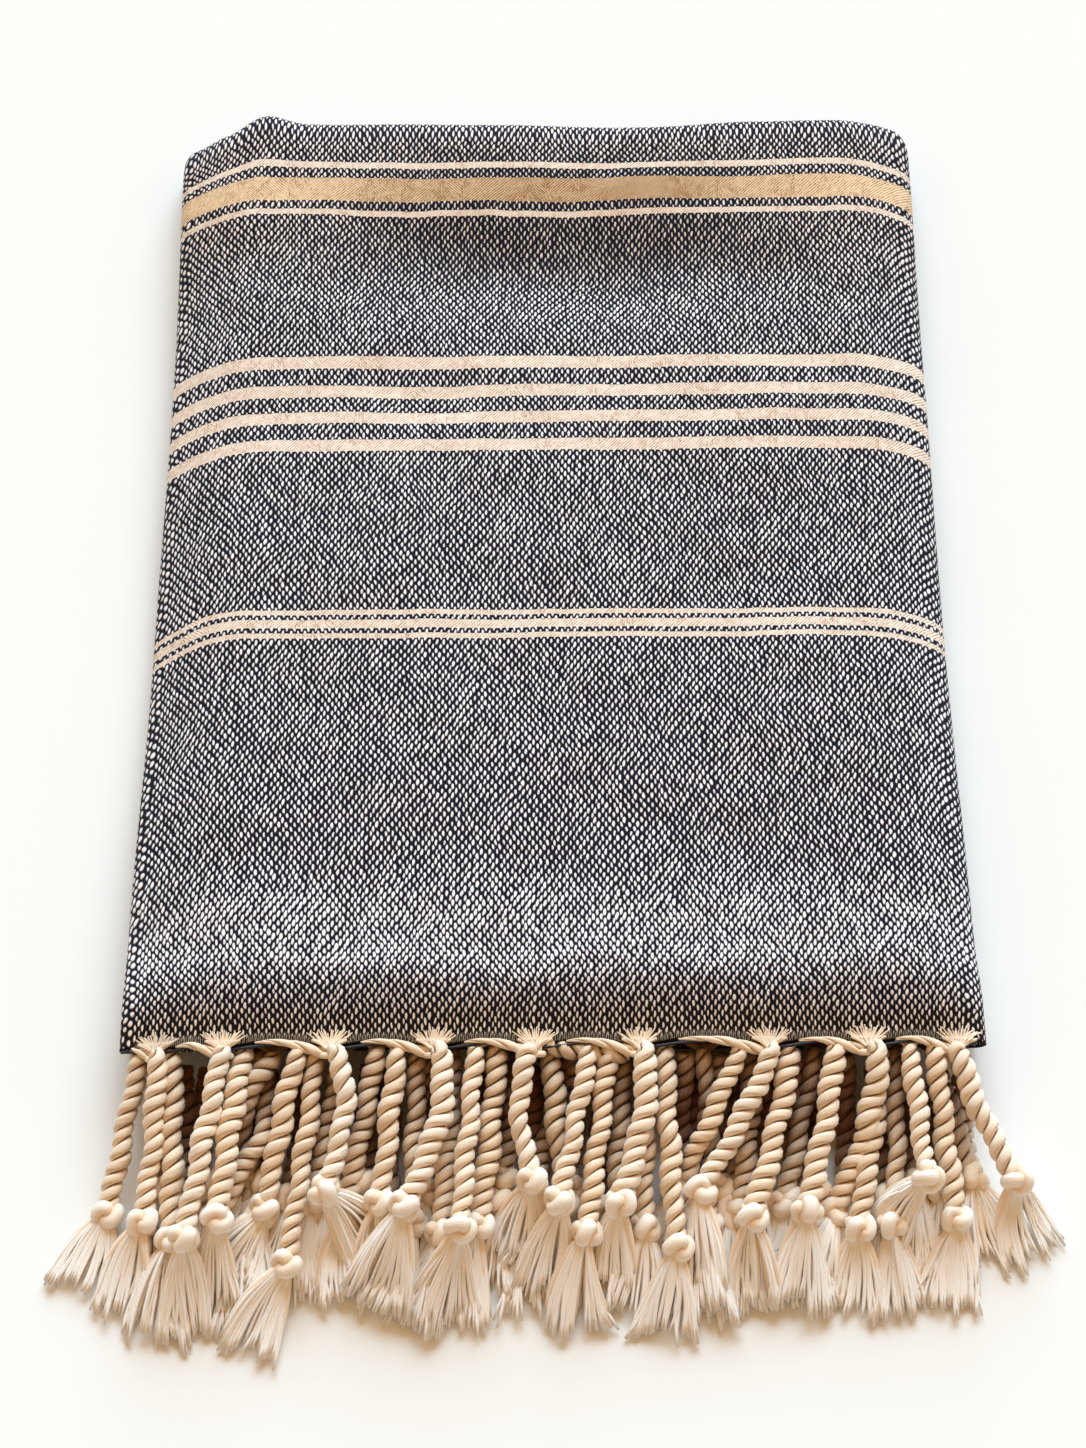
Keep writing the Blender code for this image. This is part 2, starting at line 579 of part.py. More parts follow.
def add_lock(shape, last, points, rolled):
    """One lock of loose yarns. Where it lies on the floor, its underside is level there."""
    for k in range(1, LOCK_POINTS):
        on_floor = points[k][2] < LOCK_RADIUS + PIECE_GAP
        turned = 0.0 if on_floor else rolled * (1 - k / (LOCK_POINTS - 1))
        corners = ring(points[k], heading_at(points, k), LOCK_RADIUS * SOLID_SHARE * LOCK_TAPER[k], turned)
        if on_floor:
            corners = [c if c[2] > points[k][2] else np.array((c[0], c[1], 0.0)) for c in corners]
        verts = add_ring(shape, corners)
        bridge(shape, last, verts)
        last = verts
    shape.faces.new(last)


def make_fringe_row(row, cords, ropes, locks):
    """A narrow strip along one hem, with its cords fused to its front."""
    shape = bmesh.new()
    half = ROOT_WIDTH / 2
    order = sorted(range(len(cords)), key=lambda k: cords[k].x)
    lines = []
    for k in order:
        lines += [cords[k].x * MM - half, cords[k].x * MM + half]
    lines = [lines[0] - half] + lines + [lines[-1] + half]
    low = (CLOTH_THICK - EDGE_STRIP_HEIGHT) / 2
    high = low + EDGE_STRIP_HEIGHT
    outs = (PIECE_GAP, PIECE_GAP + EDGE_STRIP_DEPTH)
    flipped = hem_place(row, cords[0].x * MM, 0, high)[2] < hem_place(row, cords[0].x * MM, 0, low)[2]
    below, above = (high, low) if flipped else (low, high)
    rings = []
    for x in lines:
        corners = [(outs[1], below), (outs[0], below), (outs[0], above), (outs[1], above)]
        rings.append([shape.verts.new(hem_place(row, x, out, height)) for out, height in corners])
    for k in range(len(rings) - 1):
        a, b = rings[k], rings[k + 1]
        shape.faces.new((a[0], a[1], b[1], b[0]))
        shape.faces.new((a[1], a[2], b[2], b[1]))
        shape.faces.new((a[2], a[3], b[3], b[2]))
        if k % 2 == 0:
            shape.faces.new((a[3], a[0], b[0], b[3]))
    shape.faces.new(rings[0][::-1])
    shape.faces.new(rings[-1])
    for place, k in enumerate(order):
        a, b = rings[2 * place + 1], rings[2 * place + 2]
        last, turned = add_rope(shape, [a[0], b[0], b[3], a[3]], ropes[k])
        add_tassel(shape, last, turned, ropes[k][-1], locks[k])
    return shape


# ---------------------------------------------------------------- objects
def make_material(name, colour, roughness):
    material = bpy.data.materials.new(name)
    material.use_nodes = True
    shader = material.node_tree.nodes["Principled BSDF"]
    shader.inputs["Base Color"].default_value = (*colour, 1.0)
    shader.inputs["Roughness"].default_value = roughness
    shader.inputs["Metallic"].default_value = 0.0
    return material


def add_object(name, shape, material):
    bmesh.ops.recalc_face_normals(shape, faces=shape.faces)
    bmesh.ops.triangulate(shape, faces=shape.faces)
    mesh = bpy.data.meshes.new(name)
    shape.to_mesh(mesh)
    shape.free()
    mesh.materials.append(material)
    made = bpy.data.objects.new(name, mesh)
    bpy.context.scene.collection.objects.link(made)
    return made


for old in list(bpy.data.objects):
    bpy.data.objects.remove(old)

add_object("towel_cloth", make_cloth(), make_material("navy_and_cream_weave", (0.13, 0.14, 0.20), 0.9))
laid = [lay_out(cord) for cord in CORDS]
settled_ropes, settled_locks = settle(np.array([rope for rope, _ in laid]), np.array([lock for _, lock in laid]))
for hem_row in sorted(HEM_ROWS):
    members = [k for k, cord in enumerate(CORDS) if cord.row == hem_row]
    fringe = make_fringe_row(hem_row, [CORDS[k] for k in members], settled_ropes[members], settled_locks[members])
    finish = make_material(f"cream_cord_{hem_row}", (0.78, 0.65, 0.48), 0.85)
    add_object(f"fringe_row_{hem_row}", fringe, finish)
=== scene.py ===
"""A folded hammam towel: its woven sheet, its gathered hem and its knotted cords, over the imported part.

Metres, +Z up, in the part's own frame. Lengths along the stack are counted from the fringed hem."""
from collections import namedtuple
import math

import bpy
import numpy as np
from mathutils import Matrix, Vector


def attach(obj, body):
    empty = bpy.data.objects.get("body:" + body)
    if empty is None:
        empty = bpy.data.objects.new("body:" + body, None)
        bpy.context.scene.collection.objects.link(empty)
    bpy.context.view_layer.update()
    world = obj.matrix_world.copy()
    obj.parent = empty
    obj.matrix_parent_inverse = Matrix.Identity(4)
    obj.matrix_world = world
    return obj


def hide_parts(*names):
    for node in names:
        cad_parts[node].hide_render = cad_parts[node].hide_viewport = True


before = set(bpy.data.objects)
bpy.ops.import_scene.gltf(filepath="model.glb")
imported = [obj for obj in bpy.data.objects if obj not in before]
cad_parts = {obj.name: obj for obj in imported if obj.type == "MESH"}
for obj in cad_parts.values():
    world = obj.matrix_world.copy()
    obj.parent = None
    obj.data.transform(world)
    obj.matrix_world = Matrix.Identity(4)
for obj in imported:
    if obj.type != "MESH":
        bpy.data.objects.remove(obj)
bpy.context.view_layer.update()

# ---------------------------------------------------------------- the towel's cloth
# One flat-woven cotton sheet with pale warp floats on a dark ground, folded in half lengthwise, then
# in thirds, then in half again, and pressed. Its plain hem and its cross stripes are woven in.
STACK_WIDTH = 0.336
STACK_LENGTH = 0.4585
ORIGIN_FROM_HEM = 0.2275
CLOTH_THICK = 0.0019
LAYER_GAP = 0.0013
SET_BACK_OF_HALF_FOLD = 0.0105
ROLL_LEFT = 0.044
ROLL_RIGHT = 0.036
THIN_LEFT = 0.55
THIN_RIGHT = 0.80
BOW_LEFT = 0.0025
HEM_STEP = 0.0005
FLAP_SHORT = 0.002
FAR_REACH_START = 0.410

TWO = 2 * CLOTH_THICK + LAYER_GAP
SIX = 3 * TWO + 2 * LAYER_GAP
TWELVE = 2 * SIX + LAYER_GAP
LEFT_FOLD = -STACK_WIDTH / 2 + LAYER_GAP / 2 + TWO
RIGHT_FOLD = STACK_WIDTH / 2 - 1.5 * TWO - LAYER_GAP
FAR_FOLD = STACK_LENGTH - LAYER_GAP / 2 - SIX
LEFT_TURN = math.pi * (LAYER_GAP + TWO) / 2
RIGHT_TURN = math.pi * (2 * LAYER_GAP + 2 * TWO) / 2
FAR_TURN = math.pi * (LAYER_GAP + SIX) / 2
HALF_TURN = math.pi * (LAYER_GAP + CLOTH_THICK) / 2
LEFT_ROLL_LINE = -STACK_WIDTH / 2 + ROLL_LEFT
RIGHT_ROLL_LINE = STACK_WIDTH / 2 - ROLL_RIGHT
HALF_FOLD = 2 * FAR_FOLD + FAR_TURN - SET_BACK_OF_HALF_FOLD
SHEET_LENGTH = 2 * HALF_FOLD + HALF_TURN - HEM_STEP
LEFT_FLAP = RIGHT_ROLL_LINE - LEFT_FOLD - FLAP_SHORT
RIGHT_FLAP = RIGHT_FOLD - LEFT_ROLL_LINE - FLAP_SHORT
MIDDLE_START = LEFT_FLAP + LEFT_TURN
MIDDLE_END = MIDDLE_START + RIGHT_FOLD - LEFT_FOLD
SHEET_WIDTH = MIDDLE_END + RIGHT_TURN + RIGHT_FLAP

# How much each side rolls down at stations along the stack, and how far it is drawn in there.
SideRoll = namedtuple("SideRoll", "length left right left_in right_in")
SIDE_ROLLS = [
    SideRoll(0.000, 0.22, 0.25, 0.0000, 0.0000),
    SideRoll(0.060, 0.62, 0.60, 0.0000, 0.0014),
    SideRoll(0.190, 1.00, 1.00, 0.0014, 0.0022),
    SideRoll(0.320, 0.82, 0.75, 0.0028, 0.0018),
    SideRoll(0.455, 0.60, 0.62, 0.0014, 0.0006),
]

# How far the last fold's crease stands beyond its even line, from the left to the right.
FarReach = namedtuple("FarReach", "x out")
FAR_REACHES = [
    FarReach(-0.162, -0.0080),
    FarReach(-0.147, -0.0030),
    FarReach(-0.129, 0.0065),
    FarReach(-0.110, 0.0010),
    FarReach(-0.020, 0.0000),
    FarReach(0.050, -0.0024),
    FarReach(0.095, 0.0024),
    FarReach(0.168, 0.0014),
]

# Where the stack swells or sinks in broad soft forms: place, reach across and along, height.
Swell = namedtuple("Swell", "x length reach_x reach_length height")
SWELLS = [
    Swell(0.000, -0.004, 0.500, 0.024, -0.0052),
    Swell(-0.010, 0.055, 0.190, 0.030, 0.0014),
    Swell(0.020, 0.250, 0.150, 0.030, -0.0013),
    Swell(0.060, 0.340, 0.120, 0.028, 0.0012),
    Swell(-0.030, 0.380, 0.110, 0.026, -0.0020),
]


def turn_under(past, height, clear, slab):
    """Fold a slab under itself: past its fold line, height up in it, clear = room inside the fold."""
    radius = clear / 2 + height
    neutral = (clear + slab) / 2
    angle = min(max(past / neutral, 0.0), math.pi)
    beyond = max(past - math.pi * neutral, 0.0)
    along = min(past, 0.0) + radius * math.sin(angle) - beyond
    return along, radius * math.cos(angle), angle


def bend_line(value, lines, shares):
    """A share read off a soft curve through a few stations."""
    value = min(max(value, lines[0]), lines[-1])
    for start, end, low, high in zip(lines, lines[1:], shares, shares[1:]):
        if value <= end:
            step = (value - start) / (end - start)
            return low + (high - low) * step * step * (3 - 2 * step)
    return shares[-1]


def side_rolls(x, length):
    """The roll down at the left and right sides, each from 0 to 1 at this place."""
    lines = [roll.length for roll in SIDE_ROLLS]
    left = max(LEFT_ROLL_LINE - x, 0.0) / ROLL_LEFT
    right = max(x - RIGHT_ROLL_LINE, 0.0) / ROLL_RIGHT
    left_share = bend_line(length, lines, [roll.left for roll in SIDE_ROLLS])
    right_share = bend_line(length, lines, [roll.right for roll in SIDE_ROLLS])
    return left_share * left * left, right_share * right * right


def drawn_in(x, length):
    """How far a point moves towards the middle, where the sides are drawn in."""
    lines = [roll.length for roll in SIDE_ROLLS]
    moved = [roll.left_in if x < 0 else -roll.right_in for roll in SIDE_ROLLS]
    return bend_line(length, lines, moved) * min(abs(x) / (STACK_WIDTH / 2), 1.0)


def far_reach(x, length):
    """How far the top of the last fold stands beyond its even line."""
    out = bend_line(x, [reach.x for reach in FAR_REACHES], [reach.out for reach in FAR_REACHES])
    return out * bend_line(length, (FAR_REACH_START, STACK_LENGTH), (0.0, 1.0))


def swollen(swells, x, length):
    """How far a set of broad soft forms lifts the cloth above its even height."""
    return sum(
        s.height * math.exp(-((x - s.x) / s.reach_x) ** 2 - ((length - s.length) / s.reach_length) ** 2)
        for s in swells
    )


def sheet_point(across, along, height):
    """Where a point of the flat sheet lies in the folded stack; height is up from its underside."""
    left_turned = min(max((MIDDLE_START - across) / LEFT_TURN, 0.0), 1.0)
    right_turned = min(max((across - MIDDLE_END) / RIGHT_TURN, 0.0), 1.0)
    set_back = (2 * left_turned + 4 * right_turned) * HEM_STEP
    gone, level, _ = turn_under(along - HALF_FOLD, height, LAYER_GAP, CLOTH_THICK)
    length = HALF_FOLD + gone + set_back
    level += CLOTH_THICK + LAYER_GAP / 2

    deep = 0.0
    if across < MIDDLE_START:
        gone, level, _ = turn_under(MIDDLE_START - across, level, LAYER_GAP, TWO)
        x = LEFT_FOLD - gone
        level += 2 * TWO + 1.5 * LAYER_GAP
    elif across > MIDDLE_END:
        gone, level, angle = turn_under(across - MIDDLE_END, level, TWO + 2 * LAYER_GAP, TWO)
        x = RIGHT_FOLD + gone
        level += 1.5 * TWO + LAYER_GAP
        deep = (1 - math.cos(angle)) / 2
    else:
        x = LEFT_FOLD + across - MIDDLE_START
        level += 2 * TWO + 2 * LAYER_GAP

    gone, level, angle = turn_under(length - FAR_FOLD, level, LAYER_GAP, SIX)
    length = FAR_FOLD + gone
    level += SIX + LAYER_GAP / 2

    left, right = side_rolls(x, length)
    above = (1 + math.cos(angle)) / 2
    level -= (TWO + LAYER_GAP) * 2 * above * min(left, 1.0)
    level -= (TWO + LAYER_GAP) * ((1 - deep) * 2 * above + deep) * min(right, 1.0)
    press = 1 - (1 - THIN_LEFT) * left - (1 - THIN_RIGHT) * right + swollen(SWELLS, x, length) / TWELVE
    y = length + far_reach(x, length) * above - BOW_LEFT * left - ORIGIN_FROM_HEM
    return x + drawn_in(x, length), y, level * press


# Where the cords of the top hem gather its warp ends, and how far they pull the hem out.
HEM_FANS = (-0.153, -0.127, -0.086, -0.046, -0.007, 0.033, 0.083, 0.121, 0.156)
FAN_REACH = 0.011
HEM_PULL = 0.0022
HEM_PULL_EVEN = 0.25                 # the share of the pull at which the hem stays where it was
HEM_PULL_DEPTH = 0.006               # how far above the hem the pull is felt
HEM_DIP = 0.0008                     # and how far a cord draws the hem down

# Soft unevenness of the top layers: direction in degrees, wave length, height and phase.
Ripple = namedtuple("Ripple", "heading wave height phase")
RIPPLES = [
    Ripple(12, 0.083, 0.00042, 0.4),
    Ripple(-31, 0.057, 0.00030, 2.1),
    Ripple(68, 0.039, 0.00022, 4.0),
    Ripple(104, 0.120, 0.00050, 1.2),
    Ripple(-64, 0.027, 0.00012, 5.1),
]

# The same kind of broad forms, in the top layers alone.
DENTS = [
    Swell(0.010, 0.367, 0.090, 0.029, -0.0092),
    Swell(-0.150, 0.404, 0.030, 0.020, 0.0020),
    Swell(-0.070, 0.300, 0.060, 0.016, -0.0014),
    Swell(0.000, 0.026, 0.260, 0.015, 0.0026),
    Swell(-0.090, 0.076, 0.070, 0.020, -0.0012),
    Swell(0.075, 0.082, 0.060, 0.020, -0.0012),
    Swell(0.000, 0.000, 0.500, 0.013, -0.0022),
]

# The hems and the heads of the cords sit back this far, fading out along the stack both ways.
HEM_BACK = 0.0044
HEM_BACK_REACH = 0.026


def sit_back(y):
    """How far back a hem or a cord is moved at this place along the stack."""
    return HEM_BACK * np.exp(-((y + ORIGIN_FROM_HEM) / HEM_BACK_REACH) ** 2)


def hem_pull(x):
    """How far the hem is drawn out at x: most at a gathered cord, not at all halfway to the next."""
    return max(math.exp(-((x - fan) / FAN_REACH) ** 2) for fan in HEM_FANS)


def drape(across, along, height):
    """The folded sheet's point, with the finer unevenness that the plain solid leaves out."""
    x, y, z = sheet_point(across, along, height)
    length = y + ORIGIN_FROM_HEM
    uneven = swollen(DENTS, x, length)
    for ripple in RIPPLES:
        turned = math.radians(ripple.heading)
        place = math.cos(turned) * across + math.sin(turned) * along
        uneven += ripple.height * math.sin(2 * math.pi * place / ripple.wave + ripple.phase)
    z += uneven * min(z / TWELVE, 1.0) ** 2
    if MIDDLE_START <= across <= MIDDLE_END and along < 5 * HEM_PULL_DEPTH:
        near = math.exp(-(along / HEM_PULL_DEPTH) ** 2)
        y -= HEM_PULL * (hem_pull(x) - HEM_PULL_EVEN) * near
        z -= HEM_DIP * hem_pull(x) * near
    return x, y + sit_back(y), z


def stations(*stretches):
    """Stations along a direction, from (start, end, spacing) stretches that join up."""
    values = [stretches[0][0]]
    for start, end, spacing in stretches:
        steps = max(1, round((end - start) / spacing))
        values += [start + (end - start) * (k + 1) / steps for k in range(steps)]
    return values


# Spacings of the mesh: fine where the cloth shows or turns, coarse inside the stack.
FINE = 0.0034
NEAR_A_TURN = 0.010
TURN_REACH = 0.050
COARSE_ACROSS = 0.045
COARSE_ALONG = 0.030
LEFT_TURN_START = MIDDLE_START - LEFT_TURN
RIGHT_TURN_END = MIDDLE_END + RIGHT_TURN
FAR_TURN_END = FAR_FOLD + FAR_TURN
across_stations = stations(
    (0.0, LEFT_TURN_START - TURN_REACH, COARSE_ACROSS),
    (LEFT_TURN_START - TURN_REACH, LEFT_TURN_START, NEAR_A_TURN),
    (LEFT_TURN_START, MIDDLE_START, 0.0013),
    (MIDDLE_START, MIDDLE_END, FINE),
    (MIDDLE_END, RIGHT_TURN_END, 0.0018),
    (RIGHT_TURN_END, RIGHT_TURN_END + TURN_REACH, NEAR_A_TURN),
    (RIGHT_TURN_END + TURN_REACH, SHEET_WIDTH, COARSE_ACROSS),
)
into_half_fold = (
    (FAR_TURN_END, HALF_FOLD - TURN_REACH, COARSE_ALONG),
    (HALF_FOLD - TURN_REACH, HALF_FOLD, NEAR_A_TURN),
    (HALF_FOLD, HALF_FOLD + HALF_TURN / 2, HALF_TURN / 8),
)
top_stations = stations(
    (0.0, 0.012, 0.0015),
    (0.012, FAR_FOLD, FINE),
    (FAR_FOLD, FAR_TURN_END, 0.0026),
    *into_half_fold,
)
under_stations = stations(
    (0.0, 0.100, NEAR_A_TURN),
    (0.100, FAR_FOLD, COARSE_ALONG),
    (FAR_FOLD, FAR_TURN_END, 0.0038),
    *into_half_fold,
)
both_halves = 2 * HALF_FOLD + HALF_TURN
along_stations = top_stations + [both_halves - value for value in reversed(under_stations[1:-1])]
along_stations.append(SHEET_LENGTH)


def sheet_mesh():
    """The cloth as a thin closed sheet, with a map of its flat width and length in metres."""
    columns, rows = len(across_stations), len(along_stations)
    points = [drape(a, b, height) for height in (0.0, CLOTH_THICK)
              for a in across_stations for b in along_stations]
    flat = [(a, b) for _ in range(2) for a in across_stations for b in along_stations]
    faces = []

    def face(*corners):
        """A face from its corners: the sheet's side, 0 or 1, then the places across and along."""
        faces.append(tuple((side * columns + i) * rows + j for side, i, j in corners))

    for i in range(columns - 1):
        for j in range(rows - 1):
            face((1, i, j), (1, i + 1, j), (1, i + 1, j + 1), (1, i, j + 1))
            face((0, i, j), (0, i, j + 1), (0, i + 1, j + 1), (0, i + 1, j))
    last = columns - 1
    for j in range(rows - 1):
        face((0, 0, j), (1, 0, j), (1, 0, j + 1), (0, 0, j + 1))
        face((0, last, j + 1), (1, last, j + 1), (1, last, j), (0, last, j))
    last = rows - 1
    for i in range(columns - 1):
        face((0, i + 1, 0), (1, i + 1, 0), (1, i, 0), (0, i, 0))
        face((0, i, last), (1, i, last), (1, i + 1, last), (0, i + 1, last))
    mesh = bpy.data.meshes.new("towel_cloth_woven")
    mesh.from_pydata(points, [], faces)
    layer = mesh.uv_layers.new(name="flat_cloth")
    corners = np.array([flat[loop.vertex_index] for loop in mesh.loops])
    layer.uv.foreach_set("vector", corners.ravel())
    mesh.polygons.foreach_set("use_smooth", [True] * len(mesh.polygons))
    return mesh


def linear(*shade):
    """A colour's linear value from its screen value, 0 to 255."""
    return tuple((value / 255 / 12.92) if value <= 10 else ((value / 255 + 0.055) / 1.055) ** 2.4
                 for value in shade)


class Wire:
    """A shader socket that can be reckoned with as if it were a number."""

    def __init__(self, tree, socket):
        self.tree = tree
        self.socket = socket

    def node(self, kind, settings=None, **values):
        """Any node: its type, its settings, then its sockets' values or links, by name or _place."""
        made = self.tree.nodes.new(kind)
        for name, value in (settings or {}).items():
            if name == "stops":
                for stop, (made_at, colour) in zip(made.color_ramp.elements, value):
                    stop.position, stop.color = made_at, colour
            else:
                setattr(made, name, value)
        for name, value in values.items():
            place = int(name[1:]) if name[0] == "_" else name.replace("_", " ")
            socket = made.inputs[place]
            if isinstance(value, Wire):
                self.tree.links.new(value.socket, socket)
            else:
                socket.default_value = value
        return made

    def math(self, operation, *values):
        places = {f"_{k}": value for k, value in enumerate(values)}
        made = self.node("ShaderNodeMath", {"operation": operation}, **places)
        return Wire(self.tree, made.outputs[0])

    def __add__(self, other):
        return self.math("ADD", self, other)

    def __radd__(self, other):
        return self.math("ADD", other, self)

    def __sub__(self, other):
        return self.math("SUBTRACT", self, other)

    def __rsub__(self, other):
        return self.math("SUBTRACT", other, self)

    def __mul__(self, other):
        return self.math("MULTIPLY", self, other)

    def __rmul__(self, other):
        return self.math("MULTIPLY", other, self)

    def __truediv__(self, other):
        return self.math("DIVIDE", self, other)

    def step(self, low, high):
        """0 below low, 1 above high, soft between."""
        made = self.node("ShaderNodeMapRange", {"interpolation_type": "SMOOTHSTEP"},
                         Value=self, From_Min=low, From_Max=high)
        return Wire(self.tree, made.outputs[0])

    def span(self, low, high, gain):
        """From 0 at low to gain at high, in a straight line, and level beyond."""
        made = self.node("ShaderNodeMapRange", {"interpolation_type": "LINEAR"},
                         Value=self, From_Min=low, From_Max=high, To_Max=gain)
        return Wire(self.tree, made.outputs[0])

    def squared(self):
        return self * self

    def least(self, other):
        return self.math("MINIMUM", self, other)

    def most(self, other):
        return self.math("MAXIMUM", self, other)

    def part(self):
        return self.math("FRACT", self)

    def whole(self):
        return self.math("FLOOR", self)

    def size(self):
        return self.math("ABSOLUTE", self)

    def plane(self, x, y, z=0.0):
        """A vector from three numbers or wires."""
        made = self.node("ShaderNodeCombineXYZ", X=x, Y=y, Z=z)
        return Wire(self.tree, made.outputs[0])

    def noise(self, place, scale, detail):
        made = self.node("ShaderNodeTexNoise", Vector=place, Scale=scale, Detail=detail)
        return Wire(self.tree, made.outputs["Fac"])

    def chance(self, place):
        made = self.node("ShaderNodeTexWhiteNoise", {"noise_dimensions": "3D"}, Vector=place)
        return Wire(self.tree, made.outputs["Value"])

    def given(self, attribute):
        made = self.node("ShaderNodeAttribute", {"attribute_name": attribute})
        return Wire(self.tree, made.outputs["Fac"])

    def within(self, rise, full, fade, end):
        """Up from 0 to 1 between rise and full, and back to 0 between fade and end."""
        return self.step(rise, full) * (1 - self.step(fade, end))

    def placed(self):
        made = self.node("ShaderNodeTexCoord")
        return Wire(self.tree, made.outputs["Object"])

    def blend(self, under, over):
        """From the colour under to the colour over, by this wire's share."""
        made = self.node("ShaderNodeMix", {"data_type": "RGBA"}, _0=self, _6=under, _7=over)
        return Wire(self.tree, made.outputs[2])


def new_finish(name, map_name, **fixed):
    """A Principled material and the wires of a map's two directions."""
    material = bpy.data.materials.new(name)
    material.use_nodes = True
    tree = material.node_tree
    shader = tree.nodes["Principled BSDF"]
    for socket, value in fixed.items():
        shader.inputs[socket.replace("_", " ")].default_value = value
    source = tree.nodes.new("ShaderNodeUVMap")
    source.uv_map = map_name
    split = tree.nodes.new("ShaderNodeSeparateXYZ")
    tree.links.new(source.outputs[0], split.inputs[0])
    return material, shader, Wire(tree, split.outputs[0]), Wire(tree, split.outputs[1])


def link_bump(shader, height, distance, strength):
    """Relief on a finish; height: its wire. distance: in metres, for one of it."""
    made = height.node("ShaderNodeBump", Height=height, Distance=distance, Strength=strength)
    height.tree.links.new(made.outputs[0], shader.inputs["Normal"])


FLOAT_PITCH_ACROSS = 0.00297
FLOAT_PITCH_ALONG = 0.0041
FLOAT_HALF_WIDTH = 0.178             # of the pitch
FLOAT_HALF_LENGTH = 0.290
FLOAT_ASIDE = 0.16
FLOAT_SIZE = 0.86                    # of its plain size, for a float of no chance
FLOAT_SIZE_MORE = 0.30               # and so much more by its chance
FLOAT_EDGE = (0.40, 1.40)
HEM_YARN_HALF_WIDTH = 0.13
TROUGH_SHADE_MIDDLE = MIDDLE_START + 0.008 - LEFT_FOLD      # across the sheet, where the painted shade of the trough is centred
TROUGH_SHADE_REACH = 0.115
YARN_PITCH_ACROSS = 0.00150
YARN_PITCH_ALONG = 0.00145
EDGE_WAVE = 0.0016                   # how far, from side to side, the weft wanders by the stripes
WANDER = 0.0040                      # and the warp, in long waves
SHAKE = 0.0012                       # and both, from float to float
LEAN = 3.2
TWILL_LEAN = 0.92                    # the steepest slant of a stripe's dashes
NAVY = (*linear(10, 8, 16), 1.0)
NAVY_SHEEN = (*linear(34, 31, 46), 1.0)
BROWN_BLACK = (*linear(22, 16, 13), 1.0)
PALE_FLOAT = (*linear(255, 250, 252), 1.0)
CREAM_FLOAT = (*linear(250, 230, 212), 1.0)
HEM_FLOAT = (*linear(216, 196, 172), 1.0)
CREAM_STRIPE = (*linear(253, 238, 222), 1.0)
CREAM_STRIPE_DEEP = (*linear(176, 122, 84), 1.0)
BEIGE_STRIPE = (*linear(250, 218, 180), 1.0)
BEIGE_STRIPE_DEEP = (*linear(150, 106, 66), 1.0)

# Cross stripes by their distance from each hem. Between them run whole half-rows of dark weave.
Stripe = namedtuple("Stripe", "near far beige", defaults=(False,))
STRIPES = [
    Stripe(0.1794, 0.1818),
    Stripe(0.1842, 0.1882),
    Stripe(0.1905, 0.1928),
    Stripe(0.2717, 0.2776),
    Stripe(0.2860, 0.2918),
    Stripe(0.2995, 0.3055),
    Stripe(0.3141, 0.3204),
    Stripe(0.3988, 0.4017),
    Stripe(0.4064, 0.4187, True),
    Stripe(0.4241, 0.4274),
]
STRIPE_SOFT = 0.00016

# How far from the hem the comb at its edge and the small floats above it fade out, and where the
# larger floats over the stretched ridge, with their painted highlight, and the painted shade of the
# trough come in and fade out.
COMB_END = (0.0014, 0.0042)
NEAR_HEM_END = (0.004, 0.020)
STRETCHED_AND_HIGHLIT = (0.020, 0.038, 0.046, 0.084)
TROUGH_SHADE_ALONG = (0.352, 0.384, 0.420, 0.440)


def brick_floats(column, row, wide, tall, lean):
    """Oval floats in a brick lattice: how far each place is inside one, and that float's own chance.

    wide and tall: half sizes, of the pitch. Each float is moved and sized a little by its chance."""
    inside, chances = [], []
    for shift in (0.0, 0.5):
        c, r = column + shift, row + shift
        chance = column.chance(column.plane(c.whole(), r.whole(), shift))
        up = r.part() - 0.5
        aside = c.part() - 0.5 - lean * up + (chance - 0.5) * FLOAT_ASIDE
        size = FLOAT_SIZE + chance * FLOAT_SIZE_MORE
        far = (aside / (wide * size)).squared() + (up / (tall * size)).squared()
        inside.append(1 - far.step(*FLOAT_EDGE))
        chances.append(chance * inside[-1])
    return inside[0].most(inside[1]), chances[0].most(chances[1])


